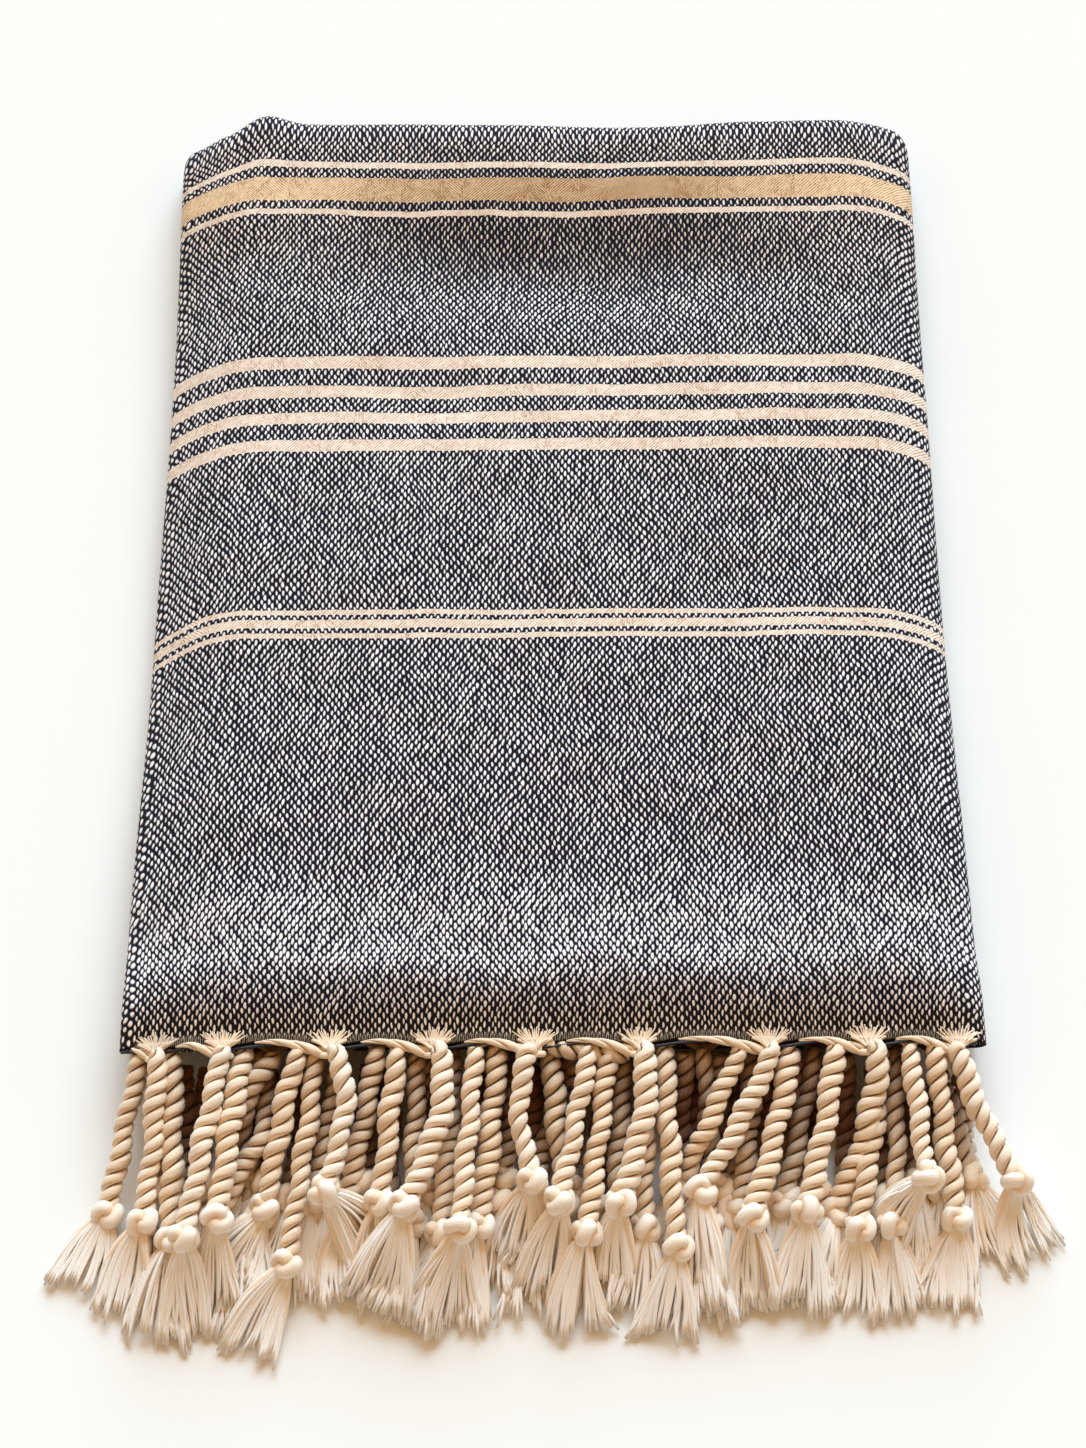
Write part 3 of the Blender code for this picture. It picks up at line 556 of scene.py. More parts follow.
def weave_finish():
    """The flat weave: pale floats and soft cross stripes on a navy ground."""
    material, shader, across, along = new_finish(
        "navy_cotton_weave", "flat_cloth", Roughness=0.90, Sheen_Weight=0.02, Sheen_Roughness=0.5,
        Specular_IOR_Level=0.15)

    def mottle(level, scale, detail):
        """Noise over the flat cloth, another one at each level."""
        return across.noise(across.plane(across, along, level), scale, detail)

    # The yarns wander a little, and the warp leans one way or the other in patches.
    edge_wave = (across.noise(across.plane(across, along * 0.2, 5.0), 70.0, 2.0) - 0.5) * EDGE_WAVE
    from_edge = along.least(SHEET_LENGTH - along)
    from_hem = from_edge + edge_wave
    wander = (mottle(0.0, 30.0, 2.0) - 0.5) * WANDER
    shake = (mottle(7.0, 260.0, 1.0) - 0.5) * SHAKE
    lean = (mottle(11.0, 62.0, 3.0) - 0.45) * LEAN
    column = (across + wander + shake) / FLOAT_PITCH_ACROSS

    # The rows of floats are counted from the hem, stripes left out.
    ends = [0.0]
    for stripe in STRIPES:
        ends += [stripe.near, stripe.far]
    ends.append(SHEET_LENGTH / 2)
    row = shake * 0.4 / FLOAT_PITCH_ALONG
    for start, end in zip(ends[::2], ends[1::2]):
        half_rows = round(2 * (end - start) / FLOAT_PITCH_ALONG)
        row = row + from_hem.span(start, end, half_rows / 2)

    # The top hem's edge is a comb of fine yarns. Above it the floats are small, then larger where the
    # cloth is stretched over the fold's ridge, which also paints a highlight on the ridge. In the trough
    # before the far fold the floats are drawn smaller, as painted shade.
    near_hem = 1 - from_hem.step(*NEAR_HEM_END)
    stretched_and_highlit = from_hem.within(*STRETCHED_AND_HIGHLIT)
    aside = ((across - TROUGH_SHADE_MIDDLE) / TROUGH_SHADE_REACH).size()
    trough_shade = from_hem.within(*TROUGH_SHADE_ALONG) * (1 - aside.step(0.4, 1.1))
    wide = FLOAT_HALF_WIDTH * (1 - 0.20 * near_hem + 0.17 * stretched_and_highlit - 0.17 * trough_shade)
    tall = FLOAT_HALF_LENGTH * (1 + 0.20 * stretched_and_highlit - 0.08 * trough_shade + lean.size() * 0.22)
    floats, chance = brick_floats(column, row, wide, tall, lean * 0.34 * (1 - near_hem))
    top_layer = across.within(MIDDLE_START, MIDDLE_START + 0.003, MIDDLE_END - 0.003, MIDDLE_END)
    comb = (1 - along.step(*COMB_END)) * top_layer
    fine, _ = brick_floats(column * 2.0, row * 1.3, HEM_YARN_HALF_WIDTH, 0.52, lean * 0.15)
    floats = (floats + (fine * 0.65 - floats) * comb) * from_edge.step(0.0001, 0.0006)

    cream, beige = [], []
    for stripe in STRIPES:
        inside = from_hem.within(stripe.near - STRIPE_SOFT, stripe.near + STRIPE_SOFT,
                                 stripe.far - STRIPE_SOFT, stripe.far + STRIPE_SOFT)
        (beige if stripe.beige else cream).append(inside)
    cream, beige = sum(cream[1:], cream[0]), beige[0]

    # Stripes are close-set soft weft: small slanted dashes of shade between its yarns.
    grain = mottle(2.0, 1900.0, 1.0)
    dash_column = (across + wander * 0.6) / YARN_PITCH_ACROSS
    dash_row = (from_hem + shake * 0.5) / YARN_PITCH_ALONG
    twill = (lean * 3.0 + 0.3).least(TWILL_LEAN).most(-TWILL_LEAN)
    dashes, dash_chance = brick_floats(dash_column, dash_row, 0.21, 0.50, twill)
    broken = mottle(21.0, 240.0, 2.0).step(0.28, 0.60)
    shade = dashes * (0.40 + 0.60 * dash_chance) * (0.50 + 0.50 * broken)
    shade = (shade + grain.step(0.45, 0.8) * 0.20).least(1.0)
    cream_colour = (shade * 0.85).blend(CREAM_STRIPE, CREAM_STRIPE_DEEP)
    # In the trough the beige stripe is deepened by painted shade.
    beige_colour = (shade + 0.35 * trough_shade).least(1.0).blend(BEIGE_STRIPE, BEIGE_STRIPE_DEEP)

    # The ground is navy mottled with a painted sheen, and brown-black by the hem, where a warm reflection
    # from the fringe is painted. The floats are warmer there by the same painted reflection, and at the
    # far end by painted warm shade in the trough, where painted shade also dims them.
    ground = (mottle(17.0, 26.0, 3.0) * 0.6 + grain * 0.3).blend(NAVY, NAVY_SHEEN)
    ground = near_hem.blend(ground, BROWN_BLACK)
    warm = (near_hem * 0.8 + from_hem.step(0.330, 0.400) * 0.45).least(1.0)
    pale = warm.blend(PALE_FLOAT, CREAM_FLOAT)
    pale = (comb * 0.85 + near_hem * 0.15).blend(pale, HEM_FLOAT)
    bright = 0.82 + 0.18 * chance - 0.16 * trough_shade
    colour = (floats * bright).blend(ground, pale)
    colour = cream.least(1.0).blend(colour, cream_colour)
    colour = beige.blend(colour, beige_colour)
    across.tree.links.new(colour.socket, shader.inputs["Base Color"])

    # Floats and stripes stand up in relief.
    striped = (cream + beige).least(1.0)
    raised = floats * (1 - striped) + (0.45 - shade * 0.35) * striped + grain * 0.12
    link_bump(shader, raised, 0.0005, 0.7)
    return material


cloth = bpy.data.objects.new("towel_cloth_woven", sheet_mesh())
bpy.context.scene.collection.objects.link(cloth)
cloth.data.materials.append(weave_finish())
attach(cloth, "root")
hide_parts("towel_cloth")

# ---------------------------------------------------------------- the fringe's lie
# The sheet's cotton warp ends leave each of its six folded hem lengths as two-ply cords. They lie as
# they settled in the solids: over one another and on the surface, each to a knot and a tassel.
MM = 0.001
TINY = 1e-12                         # no divisor is smaller than this
PIECE_GAP = 0.0003
EDGE_STRIP_DEPTH = 0.0027
ROPE_RADIUS = 0.0041
ROPE_POINTS = 12
KNOT_RADIUS = 0.0064
KNOT_HALF_LENGTH = 0.0045
KNOT_END_WIDTH = 0.0098
LOCK_RADIUS = 0.0021
LOCK_POINTS = 4
TASSEL_SPREAD = 0.026
LOCK_SPREADS = (-1.0, -0.33, 0.33, 1.0)
LOCK_CELL = KNOT_END_WIDTH / len(LOCK_SPREADS)
ROOT_SHARES = (0.30, 0.38, 0.75, 1.0)
ROOT_REACH = 0.0015                 # the cord leaves its strip straight for this far

# How the cords are laid out, and how they settle from there.
ROW_STEP = 0.003                    # each row starts out this far above the next
BOW_OUT = 0.004                     # a cord starts out bowed forwards and upwards
BOW_UP = 0.003
LOCK_FAN = 0.3                      # of the tassel's spread, how far its locks bow apart
SETTLE_ROUNDS = 26
SETTLE_PASSES = 40
EASING_ROUNDS = 15.6                # after these a cord no longer falls or is pulled back
FALL = 0.00035                      # at first, in one pass
PULL_BACK = 0.06                    # the share of its way back to its laid-out place
STIFFNESS = 0.15                    # of a bend, how much one pass straightens
GIVE = 0.6                          # of an overlap, how much one pass clears
NEAR = 0.002                        # stretches this far apart are still watched
NEIGHBOURS = 4                      # stretches this many places apart on one cord may touch

# The fringe. Hem rows are counted from the top; sizes in millimetres, out = beyond the hem.
Cord = namedtuple("Cord", "row x bend knot_x knot_out tip_x tip_out")
CORDS = [
    Cord(1, -153, 2, -160, 52, -160, 88),
    Cord(1, -127, 0, -137, 61, -139, 97),
    Cord(1, -86, 7, -84, 46, -62, 72),
    Cord(1, -46, 7, -55, 52, -69, 88),
    Cord(1, -7, -6, -8, 41, -13, 73),
    Cord(1, 33, 5, 22, 50, 18, 83),
    Cord(1, 83, 2, 62, 49, 50, 84),
    Cord(1, 121, 7, 108, 51, 90, 76),
    Cord(1, 156, -2, 171, 40, 182, 72),
    Cord(2, -98, -4, -108, 47, -126, 78),
    Cord(2, -60, -1, -70, 47, -62, 80),
    Cord(2, -30, 0, -40, 58, -45, 94),
    Cord(2, 13, 3, 1, 50, -4, 86),
    Cord(2, 71, 2, 50, 46, 35, 80),
    Cord(2, 108, 4, 98, 52, 91, 90),
    Cord(2, 137, 1, 141, 45, 124, 73),
    Cord(2, 147, -2, 153, 55, 148, 90),
    Cord(3, -160, 1, -172, 50, -180, 82),
    Cord(3, -147, 1, -149, 66, -149, 105),
    Cord(3, -119, 2, -130, 57, -131, 92),
    Cord(3, -92, 3, -104, 71, -117, 106),
    Cord(3, -68, -2, -75, 54, -79, 90),
    Cord(3, -22, 3, -32, 55, -37, 93),
    Cord(3, 21, 1, 9, 60, 8, 98),
    Cord(3, 43, 0, 45, 66, 41, 101),
    Cord(3, 91, 3, 77, 58, 72, 94),
    Cord(4, -108, -6, -118, 40, -121, 74),
    Cord(4, -82, -1, -93, 46, -96, 81),
    Cord(4, -53, 2, -63, 61, -61, 99),
    Cord(4, -1, 0, -4, 46, -9, 80),
    Cord(4, 35, 1, 33, 56, 29, 91),
    Cord(4, 58, 0, 58, 63, 60, 99),
    Cord(4, 126, 4, 116, 58, 112, 92),
    Cord(5, -114, 0, -124, 58, -127, 92),
    Cord(5, -39, 1, -48, 70, -57, 107),
    Cord(5, 27, 1, 19, 54, 17, 88),
    Cord(5, 77, 1, 72, 55, 67, 90),
    Cord(5, 101, 0, 88, 51, 85, 87),
    Cord(5, 132, 0, 131, 62, 128, 97),
    Cord(6, -14, -1, -24, 42, -28, 76),
    Cord(6, 6, -5, -6, 47, -9, 84),
    Cord(6, 148, -1, 161, 40, 168, 72),
]

# Which of the sheet's six hem lengths each row hangs from: its share of the width, and which end.
HemRow = namedtuple("HemRow", "panel far_end")
HEM_ROWS = {
    1: HemRow("middle", False),
    2: HemRow("middle", True),
    3: HemRow("left flap", True),
    4: HemRow("left flap", False),
    5: HemRow("right flap", True),
    6: HemRow("right flap", False),
}


def hem_place(row, x, out, height):
    """A point on the hem's line of a row, out beyond the hem and height up in the sheet."""
    panel, far_end = HEM_ROWS[row]
    if panel == "middle":
        across = MIDDLE_START + x - LEFT_FOLD
    elif panel == "left flap":
        across = MIDDLE_START - LEFT_TURN - (x - LEFT_FOLD)
    else:
        across = MIDDLE_END + RIGHT_TURN + RIGHT_FOLD - x
    along = SHEET_LENGTH + out if far_end else -out
    return np.array(sheet_point(across, along, height))


def lay_out(cord):
    """A cord's points before it settles: the rope's, ending in the knot, then each lock's."""
    front = -ORIGIN_FROM_HEM
    root = hem_place(cord.row, cord.x * MM, EDGE_STRIP_DEPTH + PIECE_GAP, CLOTH_THICK / 2)
    above_floor = KNOT_RADIUS + (len(HEM_ROWS) - cord.row) * ROW_STEP
    knot = np.array((cord.knot_x * MM, front - cord.knot_out * MM, above_floor))
    tip = np.array((cord.tip_x * MM, front - cord.tip_out * MM, 2 * LOCK_RADIUS))
    middle = (root + knot) / 2 + np.array((2 * cord.bend * MM, -BOW_OUT, BOW_UP))
    start = np.array((root[0], front - EDGE_STRIP_DEPTH - PIECE_GAP - ROOT_REACH, root[2]))
    steps = np.linspace(0, 1, ROPE_POINTS - 1)[:, None]
    rope = (1 - steps) ** 2 * start + 2 * steps * (1 - steps) * middle + steps ** 2 * knot
    rope = np.concatenate([root[None], rope])
    heading = (tip - knot) * (1, 1, 0)
    heading /= np.linalg.norm(heading)
    side = np.array((-heading[1], heading[0], 0.0))
    reach = np.linspace(0, 1, LOCK_POINTS)[:, None]
    locks = []
    for spread in LOCK_SPREADS:
        first = knot + heading * KNOT_HALF_LENGTH + side * spread * 1.5 * LOCK_CELL
        end = tip + side * spread * TASSEL_SPREAD / 2
        fan = side * (1 - reach) * reach * spread * TASSEL_SPREAD * LOCK_FAN
        locks.append(first + (end - first) * reach + fan)
    return rope, np.array(locks)


def across_and_up(heading):
    """The two directions square to a heading: across to +X, and up from there."""
    side = np.array((1.0, 0.0, 0.0)) - heading[..., :1] * heading
    side /= np.linalg.norm(side, axis=-1, keepdims=True)
    return side, np.cross(heading, side)


def knot_frame(knots, locks):
    """The way a tassel leaves its knot, and the way its locks lie side by side, both square."""
    aim = locks[..., 1, :].mean(-2) - knots
    aim /= np.linalg.norm(aim, axis=-1, keepdims=True)
    side = locks[..., -1, 1, :] - locks[..., 0, 1, :]
    side = side - aim * (side * aim).sum(-1, keepdims=True)
    return aim, side / np.linalg.norm(side, axis=-1, keepdims=True)


def knot_ends(knots, locks):
    """Where each lock leaves its knot: side by side across the knot's flat end."""
    aim, side = knot_frame(knots, locks)
    return np.stack([knots + aim * KNOT_HALF_LENGTH + side * spread * 1.5 * LOCK_CELL
                     for spread in LOCK_SPREADS], 1)


def nearest_shares(start_a, line_a, start_b, line_b):
    """Where two straight stretches come nearest, as a share of each."""
    between = start_a - start_b
    aa, bb, ab = (line_a ** 2).sum(1), (line_b ** 2).sum(1), (line_a * line_b).sum(1)
    a_between, b_between = (line_a * between).sum(1), (line_b * between).sum(1)
    on_a = np.clip((ab * b_between - a_between * bb) / np.maximum(aa * bb - ab ** 2, TINY), 0, 1)
    on_b = np.clip((ab * on_a + b_between) / np.maximum(bb, TINY), 0, 1)
    return np.clip((ab * on_b - a_between) / np.maximum(aa, TINY), 0, 1), on_b


def stretches_of(rope_ids, lock_ids):
    """Each straight stretch: its two points, its cord, its strand, and its place along the cord.

    The knot is one more, of no length."""
    count = len(rope_ids)
    cords = np.arange(count)
    found = [(rope_ids[:, k], rope_ids[:, k + 1], cords, 0, k) for k in range(ROPE_POINTS - 1)]
    for strand in range(len(LOCK_SPREADS)):
        for k in range(LOCK_POINTS - 1):
            ids = lock_ids[:, strand]
            found.append((ids[:, k], ids[:, k + 1], cords, strand + 1, ROPE_POINTS - 1 + 2 * k))
    found.append((rope_ids[:, -1], rope_ids[:, -1], cords, 0, ROPE_POINTS - 1))
    return [np.concatenate([np.broadcast_to(column, count) for column in columns])
            for columns in zip(*found)]


def may_meet(points, radius, starts, ends, cord_of, strand_of, place):
    """Pairs of stretches that lie near enough to be kept apart, neighbours left out."""
    middle = (points[starts] + points[ends]) / 2
    reach = np.linalg.norm(points[starts] - points[ends], axis=1) / 2
    reach = reach + np.maximum(radius[starts], radius[ends]) + NEAR
    square = (middle ** 2).sum(1)
    apart = square[:, None] + square[None] - 2 * middle @ middle.T
    first, second = np.nonzero(np.triu(apart < (reach[:, None] + reach[None]) ** 2, 1))
    keep = cord_of[first] != cord_of[second]
    keep |= np.abs(place[first] - place[second]) >= NEIGHBOURS
    keep |= (strand_of[first] != strand_of[second]) & (np.minimum(strand_of[first], strand_of[second]) > 0)
    return first[keep], second[keep]


def settle(ropes, locks):
    """Let the cords down on the floor and on each other, as round stretches that keep apart."""
    points = np.concatenate([ropes.reshape(-1, 3), locks.reshape(-1, 3)])
    plan = points[:, :2].copy()
    rope_ids = np.arange(ropes.size // 3).reshape(ropes.shape[:2])
    lock_ids = rope_ids.size + np.arange(locks.size // 3).reshape(locks.shape[:3])
    knot_ids, root_ids = rope_ids[:, -1], lock_ids[:, :, 0]
    radius = np.full(len(points), LOCK_RADIUS)
    radius[rope_ids] = ROPE_RADIUS
    radius[knot_ids] = KNOT_RADIUS
    for k, share in enumerate(ROOT_SHARES):
        radius[rope_ids[:, k]] = share * ROPE_RADIUS
    among_siblings = radius.copy()
    among_siblings[root_ids] = LOCK_CELL / 2
    free = np.ones(len(points), bool)
    free[rope_ids[:, :2]] = False
    hangs = np.ones(len(points), bool)
    hangs[rope_ids[:, :3]] = False

    links = [np.stack([rope_ids[:, k], rope_ids[:, k + 1]], 1) for k in range(ROPE_POINTS - 1)]
    links += [np.stack([lock_ids[:, :, k].ravel(), lock_ids[:, :, k + 1].ravel()], 1)
              for k in range(LOCK_POINTS - 1)]
    lengths = [np.linalg.norm(points[a] - points[b], axis=1) for a, b in (link.T for link in links)]
    starts, ends, cord_of, strand_of, place = stretches_of(rope_ids, lock_ids)
    front = -ORIGIN_FROM_HEM - EDGE_STRIP_DEPTH - 3 * PIECE_GAP

    for turn in range(SETTLE_ROUNDS):
        easing = max(0.0, 1 - turn / EASING_ROUNDS)
        first, second = may_meet(points, radius, starts, ends, cord_of, strand_of, place)
        a0, a1, b0, b1 = starts[first], ends[first], starts[second], ends[second]
        thick = np.where(cord_of[first] == cord_of[second], among_siblings[[a0, a1, b0, b1]],
                         radius[[a0, a1, b0, b1]])
        # A cord takes the length of the way it finds, shared evenly among its stretches.
        way = np.linalg.norm(np.diff(points[rope_ids[:, 1:]], axis=1), axis=2).mean(1)
        for link in range(1, ROPE_POINTS - 1):
            lengths[link] = way
        for _ in range(SETTLE_PASSES):
            points[free, 2] -= FALL * easing
            points[free, :2] += (plan - points[:, :2])[free] * PULL_BACK * easing
            middle = (points[rope_ids[:, :-2]] + points[rope_ids[:, 2:]]) / 2
            points[rope_ids[:, 2:-1]] += (middle - points[rope_ids[:, 1:-1]])[:, 1:] * STIFFNESS
            for link, length in zip(links, lengths):
                a, b = link.T
                line = points[b] - points[a]
                stretch = np.linalg.norm(line, axis=1)
                shift = line * ((stretch - length) / np.maximum(stretch, TINY) / 2)[:, None]
                points[a[free[a]]] += shift[free[a]]
                points[b[free[b]]] -= shift[free[b]]
            points[root_ids] = knot_ends(points[knot_ids], points[lock_ids])
            line_a, line_b = points[a1] - points[a0], points[b1] - points[b0]
            on_a, on_b = nearest_shares(points[a0], line_a, points[b0], line_b)
            at_a = points[a0] + line_a * on_a[:, None]
            at_b = points[b0] + line_b * on_b[:, None]
            touch = thick[0] + (thick[1] - thick[0]) * on_a + thick[2] + (thick[3] - thick[2]) * on_b
            line = at_b - at_a
            far = np.maximum(np.linalg.norm(line, axis=1), TINY)
            weight = (1 - on_a) ** 2 + on_a ** 2 + (1 - on_b) ** 2 + on_b ** 2
            push = line / far[:, None] * (np.maximum(touch - far, 0.0) / weight)[:, None]
            move = np.zeros_like(points)
            for ids, share in ((a0, on_a - 1), (a1, -on_a), (b0, 1 - on_b), (b1, on_b)):
                for axis in range(3):
                    move[:, axis] += np.bincount(ids, push[:, axis] * share, len(points))
            move[knot_ids] += move[root_ids].sum(1)
            points[free] += GIVE * move[free]
            points[:, 2] = np.maximum(points[:, 2], radius)
            points[hangs, 1] = np.minimum(points[hangs, 1], front - radius[hangs])
    points[root_ids] = knot_ends(points[knot_ids], points[lock_ids])
    return points[rope_ids], points[lock_ids]


laid = [lay_out(cord) for cord in CORDS]
ropes, locks = settle(np.array([rope for rope, _ in laid]), np.array([lock for _, lock in laid]))
ropes[..., 1] += sit_back(ropes[..., 1])
locks[..., 1] += sit_back(locks[..., 1])


# ---------------------------------------------------------------- cords, knots and tassels
# Each cord is two soft cotton plies laid right-handed, tied in an overhand knot, with its yarns
# left loose below it. Under each hem, warp ends are drawn together into the head of each cord.

# Deep under the stack's edge the strands are given painted shade: below a line that slopes down
# from the hem, fading out beyond it and at the stack's two corners.
DUSK = 0.88                          # how much darker, at its deepest
DUSK_REACH = 0.060                   # how far out from the hem the sloping line runs
DUSK_HEIGHTS = (0.035, 0.015)        # the line's height at the hem and at its end
DUSK_SOFT = 0.014
DUSK_END = 0.066
DUSK_FADE = 0.040
DUSK_HALF_WIDTH = 0.166


class Strands:
    """Gathers swept strands into one mesh, mapped by yarns counted round each and metres along it."""

    def __init__(self):
        self.count = 0
        self.points = []
        self.shades = []
        self.faces = []
        self.maps = []

    def add(self, rings, around, along, shade, closed=False):
        """rings: points of each ring. around: the map round it, one for all rings or one for each.

        along: the map along the strand. A closed one has one more of these than it has rings."""
        n, m = rings.shape[:2]
        steps = np.arange(n if closed else n - 1)
        sides = np.arange(m)
        after = (steps + 1) % n
        here, there = steps[:, None] * m, after[:, None] * m
        near, far = sides[None], (sides[None] + 1) % m
        quads = np.stack([here + near, here + far, there + far, there + near], -1).reshape(-1, 4)
        self.faces += (quads + self.count).tolist()
        around = np.broadcast_to(around, (n, m + 1))
        reach = np.broadcast_to(along[:, None], (len(along), m))
        corners = [np.stack([around[ring][:, side], reach[place]], -1)
                   for ring, side, place in ((steps, sides, steps), (steps, sides + 1, steps),
                                             (after, sides + 1, steps + 1), (after, sides, steps + 1))]
        self.maps.append(np.stack(corners, 2).reshape(-1, 2))
        if not closed:
            self.faces.append((self.count + sides[::-1]).tolist())
            self.faces.append((self.count + (n - 1) * m + sides).tolist())
            self.maps.append(np.stack([around[0, sides][::-1], np.full(m, along[0])], -1))
            self.maps.append(np.stack([around[-1, sides], np.full(m, along[n - 1])], -1))
        self.points.append(rings.reshape(-1, 3))
        self.shades.append(np.broadcast_to(np.asarray(shade, float), (n, m)).ravel())
        self.count += n * m

    def dress(self, name, finish, slot, node=None):
        """The gathered mesh as a piece of the towel."""
        points = np.concatenate(self.points)
        # Points deep under the stack's edge get painted shade in their strand shade.
        out = -ORIGIN_FROM_HEM + HEM_BACK - points[:, 1]
        under = np.interp(out, (0, DUSK_REACH), DUSK_HEIGHTS) - points[:, 2]
        dusk_shade = np.clip(under / DUSK_SOFT, 0, 1) * np.clip((DUSK_END - out) / DUSK_FADE, 0, 1)
        dusk_shade *= np.clip((DUSK_HALF_WIDTH - np.abs(points[:, 0])) / DUSK_SOFT, 0, 1)
        mesh = bpy.data.meshes.new(name)
        mesh.from_pydata(points.tolist(), [], self.faces)
        mesh.uv_layers.new(name="strand").uv.foreach_set("vector", np.concatenate(self.maps).ravel())
        shade = mesh.attributes.new("strand_shade", "FLOAT", "POINT")
        shade.data.foreach_set("value", np.concatenate(self.shades) * (1 - DUSK * dusk_shade))
        mesh.polygons.foreach_set("use_smooth", [True] * len(mesh.polygons))
        mesh.materials.append(finish)
        made = bpy.data.objects.new(name, mesh)
        bpy.context.scene.collection.objects.link(made)
        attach(made, "root")
        if node:
            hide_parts(node)
        return made


def smooth_line(points, spacing):
    """Points a spacing apart on a smooth curve through the given ones, and how far along each is."""
    points = np.asarray(points)
    reach = np.concatenate([[0.0], np.cumsum(np.linalg.norm(np.diff(points, axis=0), axis=1))])
    padded = np.concatenate([[2 * points[0] - points[1]], points, [2 * points[-1] - points[-2]]])
    wanted = np.linspace(0, reach[-1], max(2, int(round(reach[-1] / spacing)) + 1))
    index = np.clip(np.searchsorted(reach, wanted, "right") - 1, 0, len(points) - 2)
    t = ((wanted - reach[index]) / (reach[index + 1] - reach[index]))[:, None]
    a, b, c, d = (padded[index + k] for k in range(4))
    bend, twist = 2 * a - 5 * b + 4 * c - d, 3 * b - a - 3 * c + d
    return 0.5 * (2 * b + (c - a) * t + bend * t ** 2 + twist * t ** 3), wanted


NEVER_ALONG = np.array((0.0, -0.33, 0.94))          # no strand heads this way


def frames(line):
    """At each point of a line: two directions square to it."""
    heading = np.gradient(line, axis=0)
    heading /= np.linalg.norm(heading, axis=1, keepdims=True)
    side = np.cross(NEVER_ALONG, heading)
    side /= np.linalg.norm(side, axis=1, keepdims=True)
    return side, np.cross(heading, side)


def rings_round(line, side, up, width, turned, flat=1.0):
    """A ring at each point of a line, its angles turned from side to up, none below the surface."""
    rings = (line[:, None] + (width * flat * np.cos(turned))[..., None] * side[:, None]
             + (width * np.sin(turned))[..., None] * up[:, None])
    rings[..., 2] = np.maximum(rings[..., 2], 0.0)
    return rings


CORD_RADIUS = 0.0042
PLY_OFFSET = 0.44                    # of the cord's radius, as are the ply's own two half-widths
PLY_RADIAL = 0.56
PLY_TANGENTIAL = 0.78
PLY_STATIONS = np.radians([-90, -84, -74, -58, -32, 0, 32, 58, 74, 84])
# The groove between the plies is dented, and darkened by painted shade.
GROOVE_DEEP = 0.06
GROOVE_WIDE = 0.20
GROOVE_DARK = 0.78
CORD_LAY = 0.0112                    # length of one full turn of the twist
CORD_SPACING = 0.0008
YARNS_ROUND_CORD = 30
FIBRE_TURN = 0.82


def ply_outline(turned):
    """The cord's outline at an angle from a ply's middle, as a share of its radius."""
    def one(angle):
        a = np.cos(angle) ** 2 / PLY_RADIAL ** 2 + np.sin(angle) ** 2 / PLY_TANGENTIAL ** 2
        b = -2 * PLY_OFFSET * np.cos(angle) / PLY_RADIAL ** 2
        c = PLY_OFFSET ** 2 / PLY_RADIAL ** 2 - 1
        return (-b + np.sqrt(b * b - 4 * a * c)) / (2 * a)
    return np.maximum(one(turned), one(turned + math.pi))


def add_twist(strands, line, reach, radius, lay, phase, tone, groove_shade=GROOVE_DARK):
    """Two plies twisted round a line. radius: at each point of it. The groove gets painted shade, by the
    last argument.
    """
    side, up = frames(line)
    around = np.concatenate([PLY_STATIONS, PLY_STATIONS + math.pi])
    groove = np.exp(-(np.cos(around) / GROOVE_WIDE) ** 2)
    outline = ply_outline(around) - GROOVE_DEEP * groove
    turned = around[None] + 2 * math.pi * reach[:, None] / lay + phase
    rings = rings_round(line, side, up, radius[:, None] * outline[None], turned)
    # The fibres of each ply run nearly straight down the cord, because its own twist is the other way.
    share = np.concatenate([around, around[:1] + 2 * math.pi]) / (2 * math.pi)
    fibre = (share[None] + FIBRE_TURN * reach[:, None] / lay) * YARNS_ROUND_CORD
    strands.add(rings, fibre, reach, tone * (1 - groove_shade * groove[None]))


def add_tube(strands, line, reach, radius, sides, tone, yarns=2):
    """A plain round strand."""
    side, up = frames(line)
    angles = np.linspace(0, 2 * math.pi, sides, endpoint=False)
    rings = rings_round(line, side, up, np.broadcast_to(radius, len(line))[:, None], angles)
    strands.add(rings, np.linspace(0, yarns, sides + 1), reach, tone)


LOOP_HOLLOW = (0.45, 0.88)           # of the way out from the middle, where a loop's painted shade is deepest and where it ends
LOOP_SHADE = (0.35, 1.0)


def add_loop(strands, line, reach, radius, flat, middle, sides, tone, yarns):
    """A closed round strand, its flatter side facing away from a middle point, with painted shade towards
    it.
    """
    heading = np.roll(line, -1, 0) - np.roll(line, 1, 0)
    heading /= np.linalg.norm(heading, axis=1, keepdims=True)
    out = line - middle
    out = out - heading * (heading * out).sum(1, keepdims=True)
    out /= np.linalg.norm(out, axis=1, keepdims=True)
    angles = np.linspace(0, 2 * math.pi, sides, endpoint=False)
    width = np.broadcast_to(radius, len(line))[:, None]
    rings = rings_round(line, out, np.cross(heading, out), width, angles, flat)
    outward = np.linalg.norm(rings - middle, axis=2)
    shade = tone * np.interp(outward / outward.max(), LOOP_HOLLOW, LOOP_SHADE)
    strands.add(rings, np.linspace(0, yarns, sides + 1), reach, shade, True)


SWAY = 0.0008
SWAY_LENGTH = 0.026
HEAD_REACH = (0, 0.003, 0.007)       # a cord grows out of its drawn warp ends over this way
HEAD_WIDTH = (0.75, 0.92, 1.0)       # of its full radius
SWELLING = 0.05                      # of its radius, how unevenly it is laid
SWELLING_LENGTH = 0.0075


